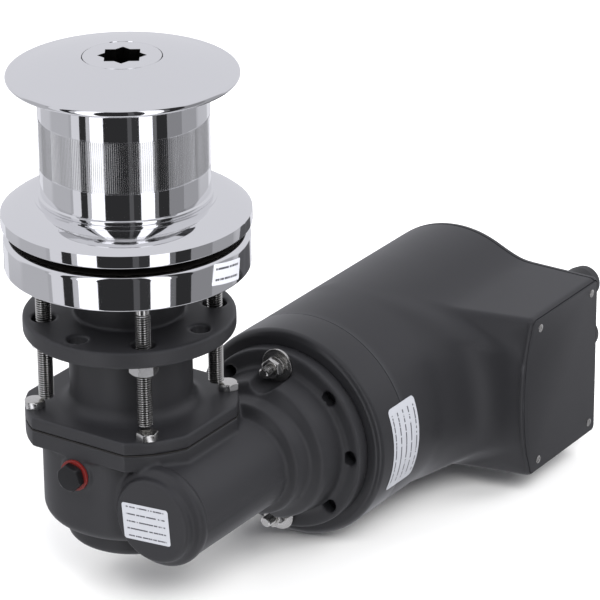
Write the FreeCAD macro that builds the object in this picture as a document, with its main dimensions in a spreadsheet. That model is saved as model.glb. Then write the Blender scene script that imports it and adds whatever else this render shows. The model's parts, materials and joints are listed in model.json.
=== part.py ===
"""Deck capstan: a polished drum on a chromed deck base, driven from below the deck.

Frame: millimetres, +Z up along the drum's axis, origin on that axis at the deck face (the base's
underside). The motor and the worm lie along +X, beside the drum's axis on the -Y side.
The drum is clamped to a cone clutch on the vertical shaft by a star nut. A worm and a worm wheel
under the deck turn that shaft, and the control box grows out of the motor's cover.
"""
import FreeCAD
import Part
import math
import os

import Sketcher

from FreeCAD import Placement, Rotation, Vector

doc = FreeCAD.newDocument("deck_capstan")

# Driving dimensions, in groups. Each is written once, and everything else is worked out from them.
DIMENSIONS = {
    "deck_base": dict(
        base_radius=62.5, base_height=18.5, base_round=3.0, base_floor=11.0, base_recess_radius=38.5,
        base_shaft_hole=14.5, ring_radius=53.0, ring_section=2.6),
    "deck_clamp": dict(
        deck_gap=25.8, neck_radius=28.0, neck_spigot=7.0, plate_radius=54.5, plate_thick=9.1,
        plate_round=1.5, hole_circle=44.0, stud_hole=5.4, stud_recess=6.2, recess_depth=3.0,
        spare_hole=5.0, stud_radius=4.0, stud_thread=3.6, stud_shank=9.0,
        stud_drop=70.3, stud_bite=12.0, nut_flats=13.0, nut_height=6.5),
    "drum": dict(
        drum_top=111.3, dome_radius=190.0, rim_radius=58.4, rim_round=2.0, rim_drop=9.7,
        throat_top=97.0, barrel_radius=43.0, barrel_wall=5.0, throat_round=3.0, ridge_top=80.8,
        ridge_low=54.6, ridge_width=0.8, ridge_depth=0.5, lip_top=40.3, lip_low=37.8, lip_proud=1.0,
        web_thick=7.0, hub_radius=20.0, hub_low=50.0, spigot_radius=40.0, spigot_low=24.5,
        skirt_radius=63.4, skirt_low=23.2, skirt_band=30.0, skirt_crown=37.2, skirt_dome=26.0,
        skirt_recess=3.0, skirt_rim=3.5),
    "clutch": dict(
        cone_low=15.5, cone_top=36.0, cone_foot_radius=36.2, cone_slope=0.16, cone_hub_radius=17.0,
        bush_wall=3.0, bush_low=51.0, bush_top=72.0, washer_low=95.0, washer_thick=2.0,
        nut_head_radius=19.85, nut_stem_radius=15.0, nut_low=75.0, nut_edge=0.6,
        socket_flats=17.46, socket_depth=18.0, thread_radius=8.0, thread_low=72.6, thread_top=90.5,
        clip_radius=13.5, clip_groove=9.3, clip_width=1.6, cone_wall=4.0, cone_web=5.5),
    "gear_cover": dict(
        turret_radius=31.7, turret_flare=7.0, turret_fillet=3.0, flange_top=75.0, flange_radius=55.0,
        flange_flat_x=47.0, flange_flat_y=50.5, cover_flange=7.0, case_flange=9.0, gasket_thick=0.5,
        bolt_circle=50.0, bolt_radius=3.0, bolt_flats=10.0, bolt_head=4.0, bolt_length=14.0,
        cover_cavity=26.0, seal_radius=17.5, seal_height=6.0, neck_bore=13.5),
    "bearings": dict(
        shaft_radius=10.0, main_bearing_radius=23.5, main_bearing_width=14.0,
        race_gap=0.4, upper_bearing_top=46.0, worm_front_radius=17.5, worm_front_width=11.0,
        worm_rear_radius=20.0, worm_rear_width=12.0),
    "gear_case": dict(
        housing_radius=46.7, housing_low=137.0, housing_round=8.0, wheel_chamber=39.0,
        chamber_low=130.0, foot_radius=35.0, foot_low=149.2, foot_round=4.0, foot_floor=3.2,
        tube_radius=25.2, tube_belly=26.2, belly_drop=2.2, boss_radius=22.8, boss_front=47.0,
        boss_length=4.5, boss_floor=5.0, boss_round=2.5, shoulder_radius=27.0, shoulder_round=4.0,
        shoulder_length=6.0, bell_start=36.0, bell_one=31.0, bell_two=38.5, bell_step=12.0,
        motor_flange_radius=50.4, motor_flange_front=68.0, motor_flange_thick=8.0,
        motor_hole_circle=43.0, motor_hole=4.3, worm_chamber=19.0),
    "gearing": dict(
        wheel_teeth=70.0, gear_module=1.0, worm_pitch_radius=10.0, pressure_angle=20.0,
        backlash=0.14, root_clearance=0.25, wheel_width=14.0, wheel_tip=36.3, wheel_hub=17.0,
        wheel_hub_length=22.0, wheel_bore=12.0, shaft_body=13.0, worm_length=30.0,
        gear_axis_drop=114.6, worm_body=9.2, key_width=6.0, key_height=6.0, key_length=16.0, key_end=2.0),
    "worm_line": dict(
        worm_front_journal=7.5, worm_rear_journal=8.5, rear_bearing_start=40.0, ring_width=1.6,
        worm_seal_width=7.0, worm_end=72.6, sleeve_start=63.0, sleeve_end=83.5, sleeve_radius=13.5),
    "oil_plug": dict(
        plug_side=2.0, plug_drop=100.2, plug_flats=13.0, plug_head=6.5, plug_thread=5.0,
        plug_length=8.0, plug_ring_radius=8.2, plug_ring_thick=1.6),
    "motor": dict(
        motor_radius=58.2, shield_length=25.0, shield_wall=5.0, shield_round=4.0, shield_seam=0.3,
        yoke_radius=50.0, yoke_wall=5.0, yoke_length=112.0, yoke_bite=9.0, magnet_thick=7.0, magnet_length=70.0,
        magnet_arc=70.0, air_gap=1.0, core_length=56.0, core_start=112.0, winding_length=12.0,
        winding_radius=31.0, commutator_radius=19.0, commutator_length=20.0, commutator_start=181.0,
        brush_width=8.0, brush_length=14.0, brush_ring_thick=5.0,
        rear_shield_thick=8.0, motor_bearing_start=87.0,
        tie_circle=41.0, tie_radius=2.5, tie_flats=8.0, tie_head=3.5, motor_stud_radius=3.0, stud_proud=14.5,
        washer_radius=9.0, washer_plate=1.6, spring_washer=1.6, motor_nut_flats=10.0,
        motor_nut_height=5.0),
    "cover": dict(
        cover_end=252.0, cover_wall=3.0, box_face=132.0, box_half_height=46.4, box_front=172.0,
        box_bow=9.0, box_draft=0.22, box_blend=16.0, lid_thick=3.0, lid_margin=2.2, lid_gap=0.6,
        lid_ledge=5.0, lid_screw_inset=7.5, lid_screw_radius=1.5, lid_screw_head=2.3,
        lid_screw_length=4.0, lid_screw_sink=1.5, lid_boss_wall=2.5, lid_hole_play=0.2, lid_head_play=0.1),
    "electrics": dict(
        gland_side=116.0, gland_upper=79.5, gland_lower=110.0, gland_radius=10.0, gland_length=16.0,
        gland_bore=5.0, gland_thread=6.0, gland_nut=3.0, gland_nut_flats=14.0, contactor_width=36.0,
        contactor_depth=30.0, contactor_height=52.0, contactor_inset=12.0, contactor_round=2.0,
        saddle_thick=3.0, saddle_reach=8.0, terminal_radius=3.0, terminal_length=9.0, terminal_inset=9.0,
        gland_dome=8.0),
    "fits": dict(seat_fit=0.02, running_fit=0.05, hand_clearance=0.3),
}


class Size:
    """A length that the sheet drives: its value now, and the formula that keeps it current."""

    def __init__(self, formula, value):
        self.formula = formula
        self.value = value

    def _combine(self, sign, other, swap=False):
        other = other if isinstance(other, Size) else Size(repr(float(other)), float(other))
        first, second = (other, self) if swap else (self, other)
        value = {"+": first.value + second.value, "-": first.value - second.value,
                 "*": first.value * second.value,
                 "/": first.value / second.value if second.value else 0.0}[sign]
        return Size(f"({first.formula} {sign} {second.formula})", value)

    def __add__(self, other):
        return self._combine("+", other)

    def __radd__(self, other):
        return self._combine("+", other, swap=True)

    def __sub__(self, other):
        return self._combine("-", other)

    def __rsub__(self, other):
        return self._combine("-", other, swap=True)

    def __mul__(self, other):
        return self._combine("*", other)

    def __rmul__(self, other):
        return self._combine("*", other, swap=True)

    def __truediv__(self, other):
        return self._combine("/", other)

    def __neg__(self):
        return Size("0", 0.0) - self

    def __float__(self):
        return float(self.value)


class Sizes:
    """The sheet of driving dimensions, read as attributes."""

    def __init__(self, groups):
        self.sheet = doc.addObject("Spreadsheet::Sheet", "sizes")
        row = 1
        for group, cells in groups.items():
            self.sheet.set(f"A{row}", group)
            for name, value in cells.items():
                self.sheet.set(f"B{row}", name)
                self.sheet.set(f"C{row}", str(value))
                self.sheet.setAlias(f"C{row}", name)
                setattr(self, name, Size(f"sizes.{name}", float(value)))
                row += 1
        doc.recompute()


S = Sizes(DIMENSIONS)
NODES = []

CENTRE_DISTANCE = S.gear_module * S.wheel_teeth / 2 + S.worm_pitch_radius
MOTOR_LINE = (-CENTRE_DISTANCE, -S.gear_axis_drop)
DRUM_LINE = (0, 0)

# Places along the motor's axis, and along the drum's, that several pieces share.
FRONT_BEARING = S.boss_floor - S.boss_front
WORM_CHAMBER = FRONT_BEARING + S.worm_front_width
REAR_CLIP = S.rear_bearing_start + S.worm_rear_width
SHIELD_FRONT = S.motor_flange_front + S.motor_flange_thick
SHIELD_SEAM = SHIELD_FRONT + S.shield_length
YOKE_START = SHIELD_SEAM - S.yoke_bite
YOKE_END = YOKE_START + S.yoke_length
WHEEL_KEY_LOW = -S.gear_axis_drop - S.key_length / 2
CLUTCH_KEY_LOW = S.cone_low + S.key_end

TURN_TO = {"z": Rotation(), "x": Rotation(Vector(0, 1, 0), 90), "y": Rotation(Vector(1, 0, 0), -90)}
ORDER = {"z": "xyz", "x": "yzx", "y": "xzy"}
QUARTERS = (45, 135, 225, 315)
ARMATURE_SLOTS = 12
SOCKET_TURN = -11


def bind(item, **sizes):
    """Tie properties to the sheet, or set them where they are plain numbers."""
    for name, size in sizes.items():
        if isinstance(size, Size):
            item.setExpression(name, size.formula)
        else:
            setattr(item, name, size)


def put(item, axis, at, start, turn=0):
    """Stand an item that was made along Z on another axis, at a place tied to the sheet."""
    item.Placement = Placement(Vector(), TURN_TO[axis] * Rotation(Vector(0, 0, 1), turn))
    for name, size in zip(ORDER[axis], (*at, start)):
        if not isinstance(size, Size):
            size = Size(repr(float(size)), float(size))
        item.setExpression(f"Placement.Base.{name}", size.formula)
    return item


def around(radius, angle, at=DRUM_LINE):
    """The place at an angle on a circle, in the two directions across an axis."""
    turn = math.radians(angle)
    return (at[0] + radius * math.cos(turn), at[1] + radius * math.sin(turn))


def rod(name, radius, start, end, axis="z", at=DRUM_LINE):
    """A round rod from start to end along an axis."""
    item = doc.addObject("Part::Cylinder", name)
    bind(item, Radius=radius, Height=end - start)
    return put(item, axis, at, start)


def ring(name, outer, inner, start, end, axis="z", at=DRUM_LINE):
    """A round ring from start to end along an axis."""
    return cut(name, rod(name + "_outside", outer, start, end, axis, at),
               rod(name + "_hole", inner, start, end, axis, at))


def bar(name, sides, corner_radius, start, end, axis="z", at=DRUM_LINE, turn=0):
    """A bar with equal flat sides, given by the radius to its corners."""
    item = doc.addObject("Part::Prism", name)
    item.Polygon = sides
    bind(item, Circumradius=corner_radius, Height=end - start)
    return put(item, axis, at, start, turn)


def hexagon(name, flats, start, end, axis="z", at=DRUM_LINE, turn=0):
    """A hexagonal bar of a size across flats."""
    return bar(name, 6, flats / math.sqrt(3), start, end, axis, at, turn)


def block(name, low, high):
    """A box between two corners."""
    item = doc.addObject("Part::Box", name)
    bind(item, Length=high[0] - low[0], Width=high[1] - low[1], Height=high[2] - low[2])
    return put(item, "z", (low[0], low[1]), low[2])


def fuse(name, *items):
    """Join items into one."""
    item = doc.addObject("Part::MultiFuse", name)
    item.Shapes = list(items)
    return item


def common(name, first, second):
    """Keep what two items share."""
    item = doc.addObject("Part::Common", name)
    item.Base, item.Tool = first, second
    return item


def cut(name, base, *tools):
    """Take tools away from a base."""
    item = doc.addObject("Part::Cut", name)
    item.Base = base
    item.Tool = tools[0] if len(tools) == 1 else fuse(name + "_tools", *tools)
    return item


def group(name, items):
    """Hold like solids together as one node."""
    item = doc.addObject("Part::Compound", name)
    item.Links = list(items)
    return item


def node(item, label):
    """Name an item as a piece of the capstan."""
    item.Label = label
    NODES.append(item)
    return item


class Bow:
    """The end of an arc from the point before; a positive radius bends to the left."""

    def __init__(self, across, along, radius):
        self.across, self.along, self.radius = across, along, radius


def trimmed_corners(outline):
    """Turn an outline into plain points, with an arc at each corner that has a rounding."""
    def place(point):
        u, v = (point.across, point.along) if isinstance(point, Bow) else point[:2]
        return Vector(float(u), float(v), 0)
    plain = []
    for index, point in enumerate(outline):
        if isinstance(point, Bow):
            plain.append((point.across, point.along, point.radius))
        elif len(point) == 2:
            plain.append((point[0], point[1], None))
        else:
            across, along, rounding = point
            here = place(point)
            came = (here - place(outline[index - 1])).normalize()
            goes = (place(outline[(index + 1) % len(outline)]) - here).normalize()
            bend = came.getAngle(goes)
            reach = rounding * math.tan(bend / 2)
            side = 1 if came.cross(goes).z > 0 else -1
            plain.append((across - reach * came.x, along - reach * came.y, None))
            plain.append((across + reach * goes.x, along + reach * goes.y, rounding * side))
    return plain


def draw(sketch, outline):
    """Draw a closed outline whose every point and arc is held by a named size."""
    points = trimmed_corners(outline)
    places = [Vector(float(u), float(v), 0) for u, v, _ in points]
    for index, (across, along, radius) in enumerate(points):
        start, end = places[index - 1], places[index]
        if radius is None:
            line = sketch.addGeometry(Part.LineSegment(start, end))
        else:
            half = (end - start) * 0.5
            left = Vector(-half.y, half.x, 0).normalize() * math.copysign(1, float(radius))
            size = abs(float(radius))
            centre = start + half + left * math.sqrt(max(size * size - half.Length ** 2, 0))
            line = sketch.addGeometry(Part.Arc(start, centre - left * size, end))
            rule = sketch.addConstraint(Sketcher.Constraint("Radius", line, size))
            if isinstance(radius, Size):
                sketch.setExpression(f"Constraints[{rule}]",
                                     (radius if float(radius) > 0 else -radius).formula)
        last = 2 if sketch.getPoint(line, 2).distanceToPoint(end) < 1e-6 else 1
        points[index] = (across, along, (line, last))
    for index, (across, along, (line, last)) in enumerate(points):
        following = points[(index + 1) % len(points)][2]
        sketch.addConstraint(Sketcher.Constraint("Coincident", line, last, following[0], 3 - following[1]))
        for kind, size in (("DistanceX", across), ("DistanceY", along)):
            rule = sketch.addConstraint(Sketcher.Constraint(kind, -1, 1, line, last, float(size)))
            if isinstance(size, Size):
                sketch.setExpression(f"Constraints[{rule}]", size.formula)


def plane_of(body, role):
    """One of a body's own origin planes."""
    return next(item for item in body.Origin.OriginFeatures if item.Role == role)


def sketched(body, role, outline):
    """A sketch of an outline on one of the body's origin planes."""
    sketch = body.newObject("Sketcher::SketchObject", body.Name + "_outline")
    sketch.AttachmentSupport = [(plane_of(body, role), "")]
    sketch.MapMode = "FlatFace"
    draw(sketch, outline)
    return sketch


def turned(name, outline, axis="z", at=DRUM_LINE):
    """A piece turned on an axis from an outline of (radius, place along the axis)."""
    body = doc.addObject("PartDesign::Body", name)
    sketch = sketched(body, "XZ_Plane", outline)
    turn = body.newObject("PartDesign::Revolution", name + "_turn")
    turn.Profile = sketch
    turn.ReferenceAxis = (sketch, ["V_Axis"])
    turn.Angle = 360
    return put(body, axis, at, 0)


def rounded(name, base, radius, wanted):
    """Round the edges of a base whose middle point passes a test."""
    doc.recompute()
    item = doc.addObject("Part::Fillet", name)
    item.Base = base
    edges = base.Shape.Edges
    item.Edges = [(index + 1, float(radius), float(radius)) for index, edge in enumerate(edges)
                  if wanted(edge, edge.valueAt((edge.FirstParameter + edge.LastParameter) / 2))]
    return item


def deck_base():
    """The chromed ring that stands on deck, with blind holes for the studs underneath."""
    groove = S.ring_section / 2 + S.seat_fit
    spigot = S.neck_radius + S.hand_clearance
    recess_top = S.neck_spigot + S.hand_clearance
    body = turned("base_body", [
        (spigot, 0), (S.ring_radius - groove, 0), (S.ring_radius - groove, S.ring_section),
        (S.ring_radius + groove, S.ring_section), (S.ring_radius + groove, 0), (S.base_radius, 0, 1.0),
        (S.base_radius, S.base_height, S.base_round), (S.base_recess_radius, S.base_height, 1.0),
        (S.base_recess_radius, S.base_floor), (S.base_shaft_hole, S.base_floor),
        (S.base_shaft_hole, recess_top), (spigot, recess_top)])
    holes = [rod(f"base_stud_hole_{angle}", S.stud_thread + S.seat_fit, 0, S.stud_bite,
                 at=around(S.hole_circle, angle)) for angle in QUARTERS]
    node(cut("base_drilled", body, *holes), "deck_base")
    seal = doc.addObject("Part::Torus", "base_ring_seal")
    bind(seal, Radius1=S.ring_radius, Radius2=S.ring_section / 2)
    node(put(seal, "z", DRUM_LINE, S.ring_section / 2), "base_ring_seal")


def deck_fasteners():
    """The four studs, threaded above and below a plain shank, and the nuts that clamp the deck."""
    plate_low = S.deck_gap + S.plate_thick
    places = [around(S.hole_circle, angle) for angle in QUARTERS]
    studs, nuts = [], []
    for index, place in enumerate(places):
        studs.append(fuse(f"stud_{index}",
                          rod(f"stud_thread_{index}", S.stud_thread, -S.stud_drop, S.stud_bite, at=place),
                          rod(f"stud_shank_{index}", S.stud_radius, -S.stud_shank, 0, at=place)))
        blank = hexagon(f"nut_blank_{index}", S.nut_flats, -plate_low - S.nut_height, -plate_low,
                        at=place, turn=QUARTERS[index])
        hole = rod(f"nut_hole_{index}", S.stud_thread + S.seat_fit, -plate_low - S.nut_height,
                   -plate_low, at=place)
        nuts.append(cut(f"nut_{index}", blank, hole))
    node(group("studs", studs), "deck_studs")
    node(group("nuts", nuts), "deck_nuts")


def case_outline(name, low, high):
    """The joint face's outline: a disc with four flats."""
    disc = rod(name + "_disc", S.flange_radius, low, high)
    square = block(name + "_flats", (-S.flange_flat_x, -S.flange_flat_y, low),
                   (S.flange_flat_x, S.flange_flat_y, high))
    return common(name, disc, square)


def bolt_holes(name, radius, low, high):
    """Four holes or shanks on the case's bolt circle."""
    return [rod(f"{name}_{angle}", radius, low, high, at=around(S.bolt_circle, angle))
            for angle in QUARTERS]


def gear_cover():
    """The upper casting: neck, deck plate, turret and joint flange in one."""
    plate_top = -S.deck_gap
    plate_low = plate_top - S.plate_thick
    flange_low = -S.flange_top - S.cover_flange
    seat = S.main_bearing_radius + S.seat_fit
    seal_low = S.neck_spigot - S.seal_height
    bearing_low = -S.upper_bearing_top - S.main_bearing_width
    flare = S.turret_radius + S.turret_flare
    body = turned("cover_casting", [
        (S.seal_radius + S.seat_fit, S.neck_spigot), (S.neck_radius, S.neck_spigot, 1.0),
        (S.neck_radius, plate_top), (S.plate_radius, plate_top, S.plate_round),
        (S.plate_radius, plate_low, S.plate_round),
        (S.turret_radius, plate_low, S.turret_fillet),
        (S.turret_radius, -S.flange_top + S.turret_flare), Bow(flare, -S.flange_top, S.turret_flare),
        (flare, flange_low), (S.cover_cavity, flange_low), (S.cover_cavity, bearing_low - 2),
        (seat, bearing_low), (seat, -S.upper_bearing_top), (S.neck_bore, -S.upper_bearing_top),
        (S.neck_bore, seal_low), (S.seal_radius + S.seat_fit, seal_low)])
    flange = cut("cover_flange_plate", case_outline("cover_flange", flange_low, -S.flange_top),
                 rod("cover_flange_bore", S.cover_cavity, flange_low, -S.flange_top))
    solid = rounded("cover_soft", fuse("cover_joined", body, flange), 1.2,
                    lambda edge, middle: abs(middle.z + float(S.flange_top)) < 0.01
                    and math.hypot(middle.x, middle.y) > float(flare) + 0.5)
    holes = bolt_holes("cover_bolt_hole", S.bolt_radius + S.hand_clearance, flange_low, -S.flange_top)
    for angle in QUARTERS:
        place = around(S.hole_circle, angle)
        holes.append(rod(f"plate_stud_hole_{angle}", S.stud_hole, plate_low, plate_top, at=place))
        holes.append(rod(f"plate_recess_{angle}", S.stud_recess, plate_top - S.recess_depth,
                         plate_top, at=place))
        holes.append(rod(f"plate_spare_hole_{angle}", S.spare_hole, plate_low, plate_top,
                         at=around(S.hole_circle, angle - 45)))
    node(cut("cover_drilled", solid, *holes), "gear_cover")


def gear_case():
    """The lower casting: wheel housing, bearing foot, worm tube, bell and motor flange in one."""
    top = -S.flange_top - S.cover_flange - S.gasket_thick
    flange_low = top - S.case_flange
    chamber_low = -S.chamber_low
    foot_seat = -S.foot_low + S.foot_floor
    housing = turned("case_housing", [
        (0, top), (0, -S.foot_low), (S.foot_radius, -S.foot_low, S.foot_round),
        (S.foot_radius, -S.housing_low, 2.0), (S.housing_radius, -S.housing_low, S.housing_round),
        (S.housing_radius, top)])
    shoulder_start = S.boss_length - S.boss_front
    tube_start = shoulder_start + S.shoulder_length
    flange_end = S.motor_flange_front + S.motor_flange_thick
    tube = turned("case_tube", [
        (0, -S.boss_front), (S.boss_radius, -S.boss_front, S.boss_round),
        (S.boss_radius, shoulder_start, 1.0), (S.shoulder_radius, shoulder_start, S.shoulder_round),
        (S.shoulder_radius, tube_start, 1.0), (S.tube_radius, tube_start + 2.0),
        (S.tube_radius, S.bell_start, 3.0), (S.bell_one, S.bell_start + 3.0, 3.0),
        (S.bell_one + 1.0, S.bell_start + S.bell_step, 3.0),
        (S.bell_two, S.bell_start + S.bell_step + 4.0, 4.0),
        (S.bell_two + 2.0, S.motor_flange_front, 3.0),
        (S.motor_flange_radius, S.motor_flange_front, 1.2), (S.motor_flange_radius, flange_end),
        (0, flange_end)], "x", MOTOR_LINE)
    belly_half = rod("case_belly_round", S.tube_belly, tube_start + 1.0, S.bell_start + 8.0, "x", MOTOR_LINE)
    belly_keep = block("case_belly_keep",
                       (tube_start, -CENTRE_DISTANCE - S.tube_belly, -S.gear_axis_drop - S.tube_belly),
                       (S.bell_start + 9.0, -CENTRE_DISTANCE + S.tube_belly, -S.gear_axis_drop - S.belly_drop))
    belly = rounded("case_belly", common("case_belly_half", belly_half, belly_keep), 1.0,
                    lambda edge, middle: abs(middle.z + float(S.gear_axis_drop + S.belly_drop)) < 0.01
                    and abs(middle.y + float(CENTRE_DISTANCE)) > 20)
    plug_seat = rod("case_plug_boss", S.plug_ring_radius + 1.2, -S.housing_radius - 0.4,
                    -S.wheel_chamber - 1.0, "x", (S.plug_side, -S.plug_drop))
    solid = fuse("case_joined", case_outline("case_flange", flange_low, top), housing, tube, belly,
                 plug_seat)
    chamber = [
        rod("case_wheel_chamber", S.wheel_chamber, chamber_low, top),
        rod("case_foot_seat", S.main_bearing_radius + S.seat_fit, foot_seat, chamber_low),
        rod("case_front_seat", S.worm_front_radius + S.seat_fit, FRONT_BEARING, WORM_CHAMBER, "x", MOTOR_LINE),
        rod("case_worm_chamber", S.worm_chamber, WORM_CHAMBER, S.rear_bearing_start, "x", MOTOR_LINE),
        rod("case_rear_seat", S.worm_rear_radius + S.seat_fit, S.rear_bearing_start, flange_end, "x",
            MOTOR_LINE),
        rod("case_clip_groove", S.worm_rear_radius + 1.2, REAR_CLIP, REAR_CLIP + S.ring_width, "x", MOTOR_LINE),
        rod("case_plug_hole", S.plug_thread + S.seat_fit, -S.housing_radius - 2.0, -S.wheel_chamber + 4.0,
            "x", (S.plug_side, -S.plug_drop)),
    ]
    holes = bolt_holes("case_bolt_hole", S.bolt_radius + S.seat_fit, flange_low, top)
    holes += [rod(f"motor_hole_{angle}", S.motor_hole, S.motor_flange_front, flange_end, "x",
                  around(S.motor_hole_circle, angle, MOTOR_LINE)) for angle in range(0, 360, 45)]
    holes += [rod(f"motor_spot_face_{angle}", S.washer_radius + 0.6, S.bell_start, S.motor_flange_front, "x",
                  around(S.motor_hole_circle, angle, MOTOR_LINE)) for angle in (90, 270)]
    node(cut("case_bored", solid, *chamber, *holes), "gear_case")


def case_joint():
    """The gasket between the castings and the four bolts that close them."""
    low = -S.flange_top - S.cover_flange - S.gasket_thick
    high = low + S.gasket_thick
    holes = bolt_holes("gasket_hole", S.bolt_radius + S.hand_clearance, low, high)
    node(cut("gasket_cut", case_outline("gasket_blank", low, high),
             rod("gasket_bore", S.wheel_chamber, low, high), *holes), "case_gasket")
    bolts = []
    for index, angle in enumerate(QUARTERS):
        place = around(S.bolt_circle, angle)
        head = hexagon(f"bolt_head_{index}", S.bolt_flats, -S.flange_top, -S.flange_top + S.bolt_head,
                       at=place, turn=angle)
        shank = rod(f"bolt_shank_{index}", S.bolt_radius, -S.flange_top - S.bolt_length, -S.flange_top,
                    at=place)
        bolts.append(fuse(f"bolt_{index}", head, shank))
    node(group("bolts", bolts), "case_bolts")


def oil_filler():
    """The hexagon oil plug and its red seal, on the case's front wall."""
    at = (S.plug_side, -S.plug_drop)
    wall = -S.housing_radius - 0.4
    ring_front = wall - S.plug_ring_thick
    node(ring("plug_seal", S.plug_ring_radius, S.plug_thread + S.seat_fit, ring_front, wall, "x", at),
         "oil_plug_seal")
    head = hexagon("plug_head_blank", S.plug_flats, ring_front - S.plug_head + S.plug_ring_thick,
                   ring_front, "x", at, 15)
    thread = rod("plug_thread_bar", S.plug_thread, ring_front, ring_front + S.plug_length, "x", at)
    node(fuse("plug_solid", head, thread), "oil_plug")


def keyway(name, depth_low, depth_high, low, high, fit=0.0):
    """A key's block, or with a fit the slot for it, on the +X side of the shaft."""
    half = S.key_width / 2 + fit
    return block(name, (depth_low - fit, -half, low - fit), (depth_high + fit, half, high + fit))


def drive_shaft():
    """The vertical shaft, its two keys, the wheel's spacer and the ring that carries the cone."""
    hub_top = S.wheel_hub_length / 2 - S.gear_axis_drop
    hub_low = hub_top - S.wheel_hub_length
    foot_seat = S.foot_floor - S.foot_low
    journal = foot_seat + S.main_bearing_width
    upper_low = -S.upper_bearing_top - S.main_bearing_width
    clip_low = S.cone_low - S.clip_width
    body = turned("shaft_bar", [
        (0, foot_seat), (S.shaft_radius, foot_seat, 0.8), (S.shaft_radius, hub_low),
        (S.wheel_bore, hub_low), (S.wheel_bore, hub_top), (S.shaft_body, hub_top),
        (S.shaft_body, upper_low), (S.shaft_radius, upper_low), (S.shaft_radius, clip_low),
        (S.clip_groove, clip_low), (S.clip_groove, S.cone_low), (S.shaft_radius, S.cone_low),
        (S.shaft_radius, S.thread_low), (S.thread_radius, S.thread_low),
        (S.thread_radius, S.thread_top, 0.8), (0, S.thread_top)])
    wheel_slot = (S.wheel_bore - S.key_height / 2, S.wheel_bore + S.key_height / 2)
    clutch_slot = (S.shaft_radius - S.key_height / 2, S.shaft_radius + S.key_height / 2)
    wheel_key_top = WHEEL_KEY_LOW + S.key_length
    clutch_key_top = CLUTCH_KEY_LOW + S.key_length
    node(cut("shaft_slotted", body,
             keyway("shaft_wheel_slot", *wheel_slot, WHEEL_KEY_LOW, wheel_key_top, 0.02),
             keyway("shaft_clutch_slot", *clutch_slot, CLUTCH_KEY_LOW, clutch_key_top, 0.02)),
         "drive_shaft")
    node(group("keys", [keyway("wheel_key", *wheel_slot, WHEEL_KEY_LOW, wheel_key_top),
                        keyway("clutch_key", *clutch_slot, CLUTCH_KEY_LOW, clutch_key_top)]),
         "shaft_keys")
    node(ring("wheel_spacer_ring", S.shaft_body + 1.0, S.shaft_radius + S.seat_fit, journal, hub_low),
         "wheel_spacer")
    node(ring("cone_clip", S.clip_radius, S.clip_groove + S.seat_fit, clip_low, S.cone_low),
         "cone_retaining_ring")


def gap_half_width(radius):
    """Half the gap between two teeth at a radius, from the involute that rolls with the worm."""
    pitch_angle = math.radians(float(S.pressure_angle))
    pitch_radius = float(CENTRE_DISTANCE - S.worm_pitch_radius)
    here = math.acos(pitch_radius * math.cos(pitch_angle) / float(radius))
    half_tooth = math.pi / 2 / float(S.wheel_teeth)
    turn = half_tooth - (math.tan(pitch_angle) - pitch_angle) + (math.tan(here) - here)
    return float(radius) * turn + float(S.backlash) / 2


def worm_wheel():
    """The bronze worm wheel: a throated rim whose gaps follow the lead of the worm's thread."""
    hub_half = S.wheel_hub_length / 2
    rim_half = S.wheel_width / 2
    tip_radius = S.worm_pitch_radius - S.gear_module
    throat_half = math.sqrt(float(tip_radius) ** 2 - float(CENTRE_DISTANCE - S.wheel_tip) ** 2)
    bore = S.wheel_bore + S.seat_fit
    rim_inner = S.wheel_tip - 9.0
    body = doc.addObject("PartDesign::Body", "wheel_blank")
    sketch = sketched(body, "XZ_Plane", [
        (bore, -hub_half), (S.wheel_hub, -hub_half, 1.0), (S.wheel_hub, -rim_half + 4.0, 1.0),
        (rim_inner, -rim_half + 4.0, 1.0), (rim_inner, -rim_half, 1.0), (S.wheel_tip, -rim_half, 1.0),
        (S.wheel_tip, -throat_half), Bow(S.wheel_tip, throat_half, -tip_radius),
        (S.wheel_tip, rim_half, 1.0), (rim_inner, rim_half, 1.0), (rim_inner, rim_half - 4.0, 1.0),
        (S.wheel_hub, rim_half - 4.0, 1.0), (S.wheel_hub, hub_half, 1.0), (bore, hub_half)])
    blank = body.newObject("PartDesign::Revolution", "wheel_turn")
    blank.Profile = sketch
    blank.ReferenceAxis = (sketch, ["V_Axis"])
    blank.Angle = 360
    put(body, "z", DRUM_LINE, -S.gear_axis_drop)

    top = S.wheel_tip + 0.4
    root = CENTRE_DISTANCE - S.worm_pitch_radius - S.gear_module - S.root_clearance
    wide, narrow = gap_half_width(top), gap_half_width(root)
    flank = (CENTRE_DISTANCE - S.worm_pitch_radius) * math.sin(math.radians(float(S.pressure_angle)))
    outline = doc.addObject("Sketcher::SketchObject", "wheel_gap_outline")
    outline.setExpression("Placement.Base.z", (-S.gear_axis_drop).formula)
    draw(outline, [Bow(-wide, -top, -flank), (wide, -top), Bow(narrow, -root, -flank), (-narrow, -root)])
    cutter = doc.addObject("Part::Extrusion", "wheel_gap")
    cutter.Base = outline
    cutter.DirMode = "Custom"
    cutter.Dir = Vector(float(S.gear_module / 2 / S.worm_pitch_radius), 0, 1)
    cutter.Solid = True
    bind(cutter, LengthFwd=rim_half + 1.0, LengthRev=rim_half + 1.0)
    doc.recompute()
    teeth = int(float(S.wheel_teeth))
    gaps = []
    for tooth in range(teeth):
        gap = cutter.Shape.copy()
        gap.rotate(Vector(), Vector(0, 0, 1), 360 * tooth / teeth)
        gaps.append(gap)
    slot = keyway("wheel_hub_slot", S.wheel_bore - S.key_height / 2, S.wheel_bore + S.key_height / 2,
                  -S.gear_axis_drop - hub_half, -S.gear_axis_drop + hub_half, 0.02)
    doc.recompute()
    wheel = doc.addObject("Part::Feature", "wheel_toothed")
    wheel.Shape = body.Shape.cut(slot.Shape).cut(gaps)
    node(wheel, "worm_wheel")


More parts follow.
